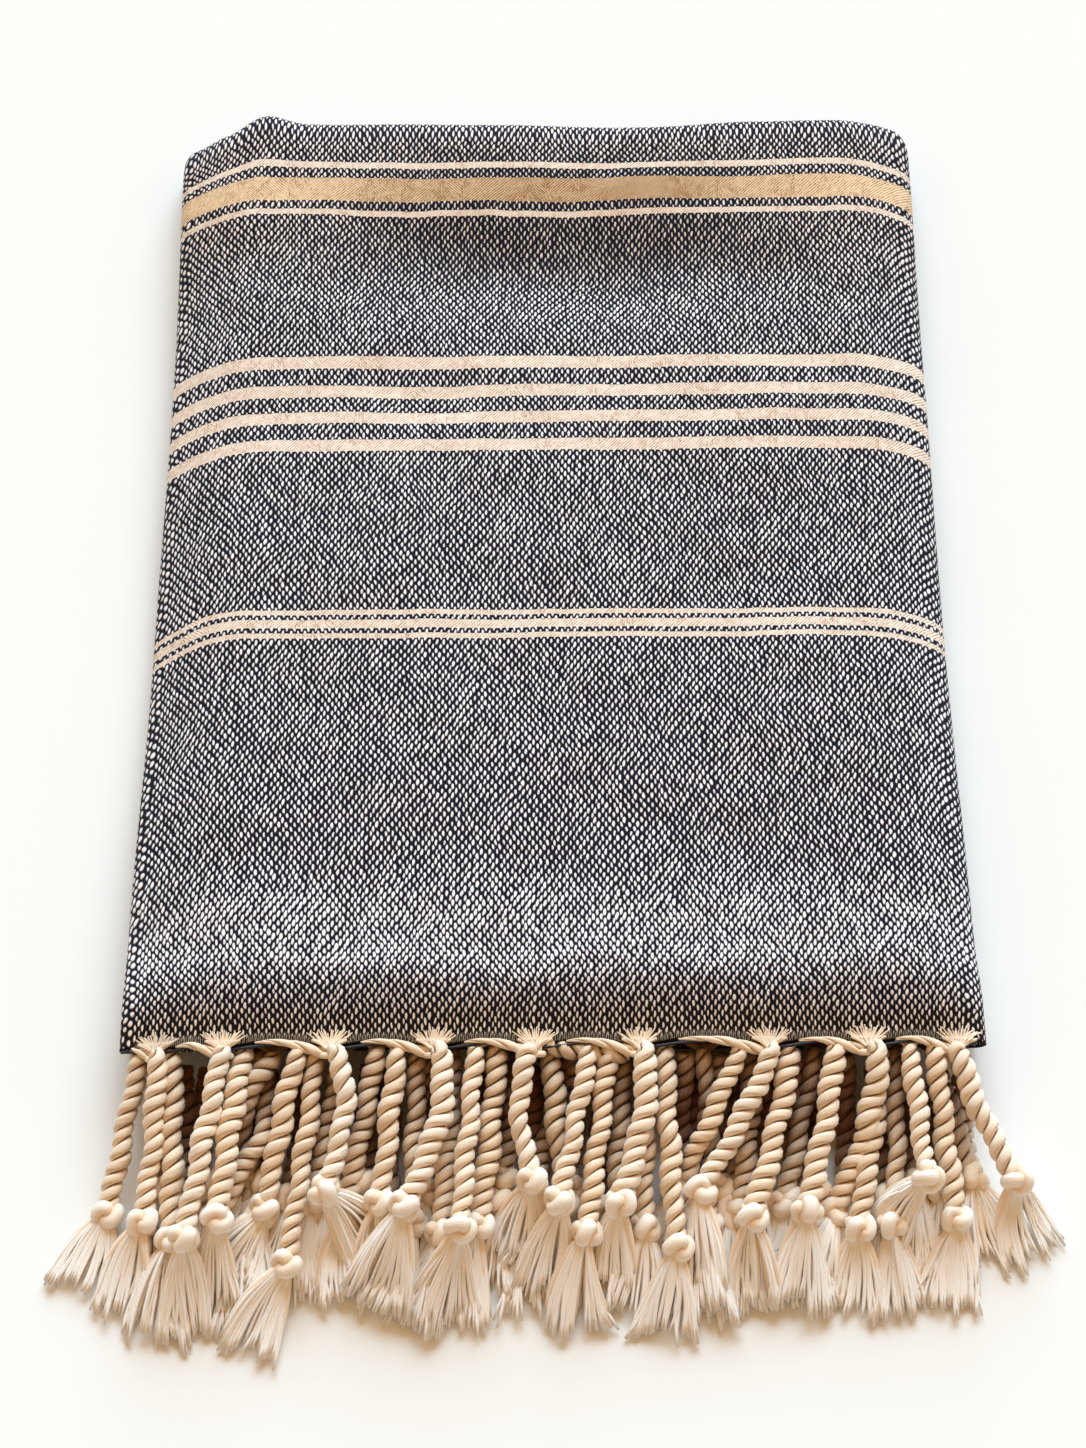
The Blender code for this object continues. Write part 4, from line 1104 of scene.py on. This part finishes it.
def add_rope(strands, points, luck, tone, bow=0.0, stout=1.0):
    """A cord from its head to its knot, swaying a little on its way. bow: how far it bends aside."""
    # It bends most a little before its middle, and sways aside and up at two paces.
    bent = points.copy()
    bent[:, 0] += bow * np.sin(np.pi * np.linspace(0, 1, len(points)) ** 0.8)
    line, reach = smooth_line(bent, CORD_SPACING)
    side, up = frames(line)
    calm = np.sin(np.pi * np.clip(reach / reach[-1], 0, 1))[:, None]
    sway = np.sin(2 * np.pi * reach / SWAY_LENGTH + luck.uniform(0, 6))[:, None]
    rise = np.sin(2 * np.pi * reach / SWAY_LENGTH * 1.4 + luck.uniform(0, 6))[:, None]
    line = line + (side * sway + up * rise * 0.6) * SWAY * calm
    radius = stout * luck.uniform(0.90, 1.08) * CORD_RADIUS * np.interp(reach, HEAD_REACH, HEAD_WIDTH)
    radius = radius * (1 + SWELLING * np.sin(reach / SWELLING_LENGTH + luck.uniform(0, 6)))
    lay = CORD_LAY * luck.uniform(0.92, 1.10)
    add_twist(strands, line, reach, radius, lay, luck.uniform(0, math.pi), tone)


KNOT_REACH = 0.0070
KNOT_STRAND = 0.0030
KNOT_RISE = 0.0024
KNOT_STEPS = 66
KNOT_WAY = 0.068
KNOT_TONE = 1.02
KNOT_CORE = 0.004                    # half the length of the strand that shows through its middle
KNOT_CORE_RADIUS = 0.0036


def add_knot(strands, knot, aim, luck):
    """An overhand knot drawn tight: three crossing turns in a ball."""
    t = np.linspace(0, 2 * math.pi, KNOT_STEPS, endpoint=False)
    wide = (KNOT_REACH - KNOT_STRAND) / 3
    tilt = aim + np.array((luck.uniform(-0.5, 0.5), luck.uniform(-0.2, 0.2), luck.uniform(-0.2, 0.7)))
    tilt /= np.linalg.norm(tilt)
    side, up = across_and_up(tilt)
    roll = luck.uniform(0, 2 * math.pi)
    first = math.cos(roll) * side + math.sin(roll) * up
    second = np.cross(tilt, first)
    line = (knot + (wide * (np.sin(t) + 2 * np.sin(2 * t)))[:, None] * first
            + (wide * (np.cos(t) - 2 * np.cos(2 * t)))[:, None] * second
            - (KNOT_RISE * np.sin(3 * t))[:, None] * tilt)
    reach = np.linspace(0, KNOT_WAY, KNOT_STEPS + 1)
    thick = KNOT_STRAND * (1 + 0.07 * np.sin(2 * t + roll))
    add_loop(strands, line, reach, thick, flat=0.88, middle=knot, sides=14, tone=KNOT_TONE, yarns=22)
    core = np.linspace(-1, 1, 7)
    core_width = KNOT_CORE_RADIUS * np.sqrt(np.maximum(1 - core ** 2, 0.02))
    core_line = knot + KNOT_CORE * core[:, None] * tilt
    # The strand through its middle is drawn at a low tone, painted shade inside the knot.
    add_tube(strands, core_line, (core + 1) * KNOT_CORE, core_width, sides=10, tone=0.6, yarns=8)


YARNS_TO_TASSEL = 56
YARN_RADIUS = 0.00066
YARN_STEPS = 10
YARN_TUFTS = 9
YARN_BUNCHING = 0.26
YARN_CURL = 0.0008
YARN_TONE = 1.30                     # of the palest yarns, at the knot
YARN_TONE_SPREAD = 0.34
# The tips are drawn paler by this much: painted light, clear of the knot's shade.
YARN_TIP_PALER = 0.12
PACKED_TUBES = 7                     # thicker strands that fill the tassel under its yarns
PACKED_SHARE = 0.84
PACKED_DROP = 0.0006
STRAIGHTENED = 0.5                   # how far a lock's arc is drawn straight


def lock_way(knot, guide):
    """The three points of the plain arc that a lock of yarns follows from its knot to its end."""
    t = np.linspace(0.12, 0.85, len(guide) - 1)[:, None]
    rest = guide[:-1] - (1 - t) ** 2 * knot - t ** 2 * guide[-1]
    share = 2 * t * (1 - t)
    fitted = (rest * share).sum(0) / (share ** 2).sum()
    return np.array([knot, fitted + (knot + guide[-1] - 2 * fitted) / 2 * STRAIGHTENED, guide[-1]])


def along_arc(arc, share):
    """Points at shares of an arc's length, and straight on beyond its end."""
    t = np.minimum(share, 1)[:, None]
    line = (1 - t) ** 2 * arc[0] + 2 * t * (1 - t) * arc[1] + t ** 2 * arc[2]
    return line + 2 * (arc[2] - arc[1]) * np.maximum(share - 1, 0)[:, None]


def add_tassel(strands, knot, guides, luck, yarns=YARNS_TO_TASSEL):
    """Loose yarns out of the knot, spread over the tassel's four locks and bunched at their ends."""
    aim, side = knot_frame(knot, guides)
    up = np.cross(aim, side)
    arcs = np.array([lock_way(knot, guide) for guide in guides])
    steps = np.linspace(0, 1, YARN_STEPS)

    def between(place):
        low = min(int(place), len(arcs) - 2)
        return arcs[low] + (arcs[low + 1] - arcs[low]) * (place - low)

    for k in range(PACKED_TUBES):
        line = along_arc(between(k / (PACKED_TUBES - 1) * (len(arcs) - 1)), steps * PACKED_SHARE)
        width = LOCK_RADIUS * np.interp(steps, (0, 0.3, 0.8, 1), (0.8, 0.8, 0.5, 0.2))
        line[:, 2] = np.maximum(line[:, 2] - PACKED_DROP, width)
        # The packed strands are drawn below the yarns' tone, painted shade under them.
        add_tube(strands, line, steps * 0.03, width, sides=8, tone=0.88, yarns=14)
    tufts = np.linspace(-1, 1, YARN_TUFTS) + luck.uniform(-0.1, 0.1, YARN_TUFTS)
    tuft_reach = luck.uniform(0.90, 1.06, YARN_TUFTS)
    tuft_rise = luck.uniform(-0.4, 1.0, YARN_TUFTS)
    for _ in range(yarns):
        turned, out = luck.uniform(-0.2, 1.2) * math.pi, luck.uniform(0.55, 1) ** 0.5
        across, rise = out * math.cos(turned), out * math.sin(turned)
        tuft = int(np.argmin(np.abs(tufts - across)))
        arc = between((across + 1) / 2 * (len(arcs) - 1))
        line = along_arc(arc, steps * tuft_reach[tuft] * luck.uniform(0.94, 1.03))
        bunch = YARN_BUNCHING * steps[:, None] ** 2 * (tufts[tuft] - across) * TASSEL_SPREAD / 2
        thick = LOCK_RADIUS * np.interp(steps, (0, 0.25, 0.6, 1), (0.9, 1.25, 1.15, 0.9))[:, None]
        lift = rise * (1 - 0.4 * steps[:, None] ** 2) + 0.6 * steps[:, None] ** 2 * tuft_rise[tuft]
        curl = luck.normal(0, YARN_CURL) * (
            steps * np.sin(steps * math.pi * luck.uniform(1.0, 2.6)))[:, None]
        line = line + side * (bunch + curl) + up * thick * lift
        radius = YARN_RADIUS * luck.uniform(0.8, 1.25) * np.interp(steps, (0, 0.85, 1), (1.0, 0.98, 0.65))
        line[:, 2] = np.maximum(line[:, 2], radius)
        tone = YARN_TONE - YARN_TONE_SPREAD * luck.uniform(0, 1) + YARN_TIP_PALER * steps[:, None]
        add_tube(strands, line, steps * 0.034 + luck.uniform(0, 1), radius, sides=4, tone=tone)


GATHER_ENDS = 9
GATHER_WIDTH = 0.0075
GATHER_RADIUS = 0.0006


def add_gather(strands, row, x, head, luck):
    """Warp ends drawn together from the hem into the head of a cord."""
    for k in range(GATHER_ENDS):
        spread = (k + 0.5) / GATHER_ENDS * 2 - 1
        aside = spread * GATHER_WIDTH
        start = hem_place(row, x + aside, -0.0004, CLOTH_THICK * luck.uniform(0.3, 0.8))
        middle = hem_place(row, x + aside * 0.45, 0.0016, CLOTH_THICK * luck.uniform(0.3, 0.8))
        end = head + np.array((spread * 0.0011, -0.0005, luck.uniform(-0.0008, 0.0008)))
        start[1] += sit_back(start[1])
        middle[1] += sit_back(middle[1])
        line, reach = smooth_line([start, middle, end], spacing=0.0007)
        add_tube(strands, line, reach, GATHER_RADIUS, sides=5, tone=0.85)


# The deep brown is painted shade, reached where the strand shade is low.
CORD_DEEP = (*linear(104, 60, 28), 1.0)
CORD_PLAIN = (*linear(250, 226, 198), 1.0)
CORD_PALE = (*linear(255, 248, 240), 1.0)


def cord_finish(name):
    """Soft cream cotton: its yarns counted round the strand, painted brown shade in every hollow."""
    material, shader, yarns, along = new_finish(
        name, "strand", Roughness=0.84, Sheen_Weight=0.30, Sheen_Roughness=0.45, Specular_IOR_Level=0.2)
    shade = yarns.given("strand_shade")
    wander = yarns.noise(yarns.plane(yarns * 0.35, along * 90.0), 1.0, 2.0)
    between = ((yarns + wander * 1.6).part() - 0.5).size() * 2
    fibres = yarns.noise(yarns.plane(yarns * 1.7, along * 160.0, 4.0), 1.0, 3.0)
    patch = yarns.noise(yarns.placed(), 70.0, 2.0)
    tone = shade * (0.90 + 0.20 * patch) - between.squared() * 0.13 + (fibres - 0.5) * 0.22
    colour = tone.step(0.0, 0.80).blend(CORD_DEEP, CORD_PLAIN)
    colour = tone.step(0.80, 1.10).blend(colour, CORD_PALE)
    yarns.tree.links.new(colour.socket, shader.inputs["Base Color"])
    link_bump(shader, (1 - between.squared()) * 0.50 + fibres * 0.5, 0.00026, 0.5)
    return material


# More cords hang from the middle of the stack behind these, seen only between them. Millimetres.
Behind = namedtuple("Behind", "row x height knot_x knot_out")
CORDS_BEHIND = [
    Behind(6, -152, 22, -152, 47),
    Behind(5, -143, 15, -144, 54),
    Behind(6, -135, 12, -139, 50),
    Behind(5, -121, 16, -128, 44),
    Behind(4, -110, 18, -113, 58),
    Behind(4, -96, 14, -101, 50),
    Behind(5, -83, 24, -85, 46),
    Behind(6, -72, 14, -73, 44),
    Behind(4, -63, 18, -63, 55),
    Behind(5, -49, 22, -50, 48),
    Behind(6, -27, 12, -38, 46),
    Behind(4, -16, 16, -21, 52),
    Behind(5, 9, 22, 6, 46),
    Behind(6, 20, 12, 15, 54),
    Behind(4, 38, 16, 30, 48),
    Behind(5, 51, 24, 47, 48),
    Behind(6, 65, 22, 63, 47),
    Behind(4, 72, 14, 68, 55),
    Behind(5, 83, 22, 79, 46),
    Behind(5, 94, 20, 90, 52),
    Behind(6, 104, 12, 100, 48),
    Behind(4, 113, 22, 113, 47),
    Behind(5, 124, 14, 127, 52),
    Behind(6, 137, 12, 139, 46),
    Behind(5, 148, 22, 148, 48),
    Behind(4, 158, 22, 160, 44),
    Behind(6, -117, 10, -117, 62),
    Behind(6, -8, 12, -9, 58),
    Behind(6, 57, 10, 56, 60),
]
BEHIND_START = 0.0030                # in front of the hems' line
BEHIND_DROP = (0.75, 1.6)            # they reach the surface at this share of the way, and how curved
BEHIND_TASSEL = 0.034
YARNS_BEHIND = 34


def lie_behind(cord):
    """A background cord's rope points, down from its hem to the surface, and its tassel's guides."""
    front = -ORIGIN_FROM_HEM + HEM_BACK
    start = np.array((cord.x * MM, front - BEHIND_START, cord.height * MM))
    knot = np.array((cord.knot_x * MM, -ORIGIN_FROM_HEM - cord.knot_out * MM, KNOT_RADIUS))
    steps = np.linspace(0, 1, ROPE_POINTS - 1)
    rope = start + (knot - start) * steps[:, None]
    down_at, curved = BEHIND_DROP
    share = np.maximum(1 - steps / down_at, 0.0) ** curved
    rope[:, 2] = CORD_RADIUS + (cord.height * MM - CORD_RADIUS) * share
    rope[-1, 2] = KNOT_RADIUS
    heading = (knot - start) * (1, 1, 0)
    heading /= np.linalg.norm(heading)
    side = np.array((-heading[1], heading[0], 0.0))
    reach = np.linspace(0, 1, LOCK_POINTS)[:, None]
    drop = np.interp(reach, (0, 0.6, 1), (KNOT_RADIUS, LOCK_RADIUS, LOCK_RADIUS)) - KNOT_RADIUS
    guides = [knot + heading * (KNOT_HALF_LENGTH + reach * BEHIND_TASSEL) + (0, 0, 1) * drop
              + side * spread * (LOCK_CELL * 1.5 + reach * (TASSEL_SPREAD / 2 - LOCK_CELL * 1.5))
              for spread in LOCK_SPREADS]
    return rope, np.array(guides)


# One more front cord is led sideways under the hem: across, along from the hems' line, and height.
LED_SIDEWAYS = ((-0.003, 0.0, 0.0285), (0.006, -0.0020, 0.0262), (0.017, -0.0032, 0.0250),
                (0.029, -0.0028, 0.0262))
SIDEWAYS_TONE = 0.86

# The lower a row, the darker it is drawn, and the cords behind darker still: painted shade under
# the rows above. The front row's cords are a little stouter. The bows are shares of each cord's own
# bend, added to what is left of it after settling.
ROW_TONES = (0.93, 0.87, 0.80, 0.75, 0.71, 0.68)
BEHIND_TONE = 0.62
FRONT_STOUT = 1.04
FRONT_BOW = 0.9
UNDER_BOW = 0.2
FRINGE_SEED = 40


def dress_row(row):
    """All that one hem row's solid stands for, and the cords that lie behind it."""
    luck = np.random.default_rng(FRINGE_SEED + row)
    strands = Strands()
    bow, stout = (FRONT_BOW, FRONT_STOUT) if row == 1 else (UNDER_BOW, 1.0)
    for cord in CORDS_BEHIND:
        if cord.row == row:
            rope, guides = lie_behind(cord)
            add_rope(strands, rope, luck, BEHIND_TONE)
            add_knot(strands, rope[-1], knot_frame(rope[-1], guides)[0], luck)
            add_tassel(strands, rope[-1], guides, luck, YARNS_BEHIND)
    for k, cord in enumerate(CORDS):
        if cord.row == row:
            aim, _ = knot_frame(ropes[k][-1], locks[k])
            add_gather(strands, row, cord.x * MM, ropes[k][0], luck)
            add_rope(strands, ropes[k], luck, ROW_TONES[row - 1], cord.bend * MM * bow, stout)
            add_knot(strands, ropes[k][-1], aim, luck)
            add_tassel(strands, ropes[k][-1], locks[k], luck)
    if row == 1:
        sideways = np.array(LED_SIDEWAYS)
        sideways[:, 1] += HEM_BACK - ORIGIN_FROM_HEM
        add_rope(strands, sideways, luck, SIDEWAYS_TONE)
    finish = cord_finish(f"cream_cotton_cord_{row}")
    return strands.dress(f"corded_fringe_{row}", finish, f"cream_cord_{row}", f"fringe_row_{row}")


fringes = [dress_row(row) for row in HEM_ROWS]

# ---------------------------------------------------------------- the top hem's edge
# On the top layer the drawn cotton ends fan out over the cloth above each cord. From fan to fan a navy
# thread runs along the edge, and a rolled cream strand swells out of it towards the next cord.
LASHES = 20
LASH_ROOT = 0.0024
LASH_SPREAD = 0.0092
LASH_RADIUS = (0.00092, 0.00055, 0.00020)
LASH_TONE = 1.02
COLLAR_RADIUS = 0.0031
COLLAR_THICK = 0.0013
COLLAR_STEPS = 24
STRAND_START = 0.30                  # of the way from one fan to the next
STRAND_RADIUS = 0.0023
STRAND_ARCH = 0.0012
STRAND_OUT = (-0.0002, -0.0026)      # along: where it starts on the hem, and how far out it drops
STRAND_SINK = 0.0016                 # and how far down
STRAND_SHORT = 0.0012                # it ends this far before the next
STRAND_LAY = 0.021
STRAND_REACH = (0, 0.2, 0.5, 0.85, 0.97, 1)
STRAND_WIDTH = (0.20, 0.42, 0.75, 1.0, 0.95, 0.6)
THREAD_START = 0.0010                # past each fan
THREAD_SHARE = 0.60                  # of the way to the next, where the strand takes over
THREAD_OUT = (-0.0010, -0.0005)      # along: where it lies, and how far it bows out between fans
THREAD_LIFT = -0.0004
THREAD_RADIUS = 0.00062
HEM_END_INSET = 0.0015               # the hem's ends lie this far inside the stack's sides
EDGE_SEED = 7


def on_cloth(x, along, lift):
    """A point on the top layer, lift above its surface; along < 0 is out beyond its hem."""
    return np.array(drape(MIDDLE_START + x - LEFT_FOLD, along, CLOTH_THICK + lift))


def add_fan(strands, x, luck):
    """A cord's warp ends, fanned out over the hem like lashes, with a collar round their root."""
    for k in range(LASHES):
        spread = (k + luck.uniform(0.2, 0.8)) / LASHES * 2 - 1
        reach = luck.uniform(0.0042, 0.0064) * (1 - 0.38 * spread * spread)
        line, way = smooth_line([
            on_cloth(x + spread * LASH_ROOT * 0.8, -0.0030, -0.0010),
            on_cloth(x + spread * LASH_ROOT, -0.0004, 0.0005),
            on_cloth(x + spread * LASH_SPREAD * 0.62, reach * 0.5, 0.0004),
            on_cloth(x + spread * LASH_SPREAD, reach, 0.0001),
        ], spacing=0.0009)
        radius = np.interp(way / way[-1], (0, 0.4, 1), LASH_RADIUS)
        add_tube(strands, line, way, radius, sides=5, tone=LASH_TONE, yarns=1)
    t = np.linspace(0, 2 * math.pi, COLLAR_STEPS, endpoint=False)
    middle = on_cloth(x, -0.0034, -0.0022)
    ring = middle + COLLAR_RADIUS * np.stack([np.cos(t), -0.35 * np.sin(t), 0.8 * np.sin(t)], 1)
    reach = np.linspace(0, 0.02, COLLAR_STEPS + 1)
    add_loop(strands, ring, reach, COLLAR_THICK, flat=1.0, middle=middle, sides=10, tone=0.92, yarns=9)


def add_hem_strand(strands, start_x, end_x, luck):
    """The rolled strand from where it leaves the thread to the next cord's head."""
    starts, drops = STRAND_OUT
    line, reach = smooth_line([
        on_cloth(start_x + (end_x - start_x) * share, starts + drops * share ** 1.5,
                 STRAND_ARCH * math.sin(math.pi * share) - STRAND_SINK * share)
        for share in np.linspace(0, 1, 9)], spacing=0.0007)
    radius = STRAND_RADIUS * np.interp(reach / reach[-1], STRAND_REACH, STRAND_WIDTH)
    phase = luck.uniform(0, math.pi)
    add_twist(strands, line, reach, radius, STRAND_LAY, phase, tone=0.97, groove_shade=0.45)


def add_thread(strands, start_x, end_x):
    """The navy thread, lying just below the cloth's top along its edge."""
    lies, bows = THREAD_OUT
    line, reach = smooth_line([
        on_cloth(start_x + (end_x - start_x) * share, lies + bows * math.sin(math.pi * share), THREAD_LIFT)
        for share in np.linspace(0, 1, 6)], spacing=0.0010)
    add_tube(strands, line, reach, THREAD_RADIUS, sides=7, tone=1.0, yarns=1)


def thread_finish():
    """Navy cotton thread, smooth, with fine fibres along it."""
    material, shader, yarns, along = new_finish(
        "navy_hem_thread", "strand", Base_Color=(*linear(18, 19, 32), 1.0), Roughness=0.42)
    lines = yarns.noise(yarns.plane(yarns * 3.0, along * 700.0), 1.0, 1.0)
    link_bump(shader, lines, 0.0002, 0.6)
    return material


luck = np.random.default_rng(EDGE_SEED)
edge, thread = Strands(), Strands()
heads = [-STACK_WIDTH / 2 + HEM_END_INSET, *HEM_FANS, STACK_WIDTH / 2 - HEM_END_INSET]
for x in HEM_FANS:
    add_fan(edge, x, luck)
for start, end in zip(heads, heads[1:]):
    add_thread(thread, start + THREAD_START, start + (end - start) * THREAD_SHARE)
    if end in HEM_FANS:
        add_hem_strand(edge, start + (end - start) * STRAND_START, end - STRAND_SHORT, luck)
hem_edge = edge.dress("hem_fans_and_strands", cord_finish("cream_hem_strand"), "cream_cord_1")
hem_thread = thread.dress("navy_edge_thread", thread_finish(), "navy_and_cream_weave")

# ---------------------------------------------------------------- the surface and the light
# A pale warm sheet of paper under the towel. Wide cool daylight comes from beyond the far side, a
# little from the right, and the room fills the shadows: cool near the floor, warm from overhead.
FLOOR_REACH = 6.0
PAPER = (0.90, 0.89, 0.87, 1.0)
GLOW_STOPS = ((0.05, (0.36, 0.46, 0.53, 1)), (0.80, (0.64, 0.345, 0.09, 1)))
SUN_FROM = (0.14, 1.00, 0.70)
SUN_STRENGTH = 5.00
SUN_WIDTH = math.radians(50)
DAYLIGHT = (0.573, 0.811, 1.0)
CAMERA_TILT = math.radians(62.0)
CAMERA_SIDE = 0.0067
CAMERA_PLACE = (-0.00667, -0.62367, 1.04311)
CAMERA_SENSOR = 36.0
CAMERA_LENS = 70.0

floor_mesh = bpy.data.meshes.new("paper_floor")
floor_mesh.from_pydata([(-FLOOR_REACH, -FLOOR_REACH, 0), (FLOOR_REACH, -FLOOR_REACH, 0),
                        (FLOOR_REACH, FLOOR_REACH, 0), (-FLOOR_REACH, FLOOR_REACH, 0)], [], [(0, 1, 2, 3)])
floor = bpy.data.objects.new("paper_floor", floor_mesh)
bpy.context.scene.collection.objects.link(floor)
paper = bpy.data.materials.new("warm_white_paper")
paper.use_nodes = True
paper.node_tree.nodes["Principled BSDF"].inputs["Base Color"].default_value = PAPER
paper.node_tree.nodes["Principled BSDF"].inputs["Roughness"].default_value = 0.95
floor_mesh.materials.append(paper)

world = bpy.data.worlds.new("room")
world.use_nodes = True
sky = world.node_tree.nodes.new("ShaderNodeTexCoord")
sky = Wire(world.node_tree, sky.outputs["Generated"])
height = Wire(sky.tree, sky.node("ShaderNodeSeparateXYZ", Vector=sky).outputs["Z"])
glow = sky.node("ShaderNodeValToRGB", {"stops": GLOW_STOPS}, Fac=height)
glow.color_ramp.interpolation = "EASE"
sky.tree.links.new(glow.outputs["Color"], sky.tree.nodes["Background"].inputs["Color"])
bpy.context.scene.world = world

sun_data = bpy.data.lights.new("daylight", "SUN")
sun_data.energy = SUN_STRENGTH
sun_data.angle = SUN_WIDTH
sun_data.color = DAYLIGHT
sun = bpy.data.objects.new("daylight", sun_data)
sun.rotation_euler = Vector(SUN_FROM).to_track_quat("Z", "Y").to_euler()
bpy.context.scene.collection.objects.link(sun)

camera_data = bpy.data.cameras.new("camera")
camera_data.sensor_fit = "VERTICAL"
camera_data.sensor_height = CAMERA_SENSOR
camera_data.lens = CAMERA_LENS
camera = bpy.data.objects.new("camera", camera_data)
camera.location = CAMERA_PLACE
side_turn = math.atan(CAMERA_SIDE)
looking = Vector((math.sin(side_turn) * math.cos(CAMERA_TILT), math.cos(side_turn) * math.cos(CAMERA_TILT),
                  -math.sin(CAMERA_TILT)))
camera.rotation_euler = looking.to_track_quat("-Z", "Y").to_euler()
bpy.context.scene.collection.objects.link(camera)
bpy.context.scene.camera = camera
bpy.context.scene.view_settings.view_transform = "Standard"

bpy.context.view_layer.update()
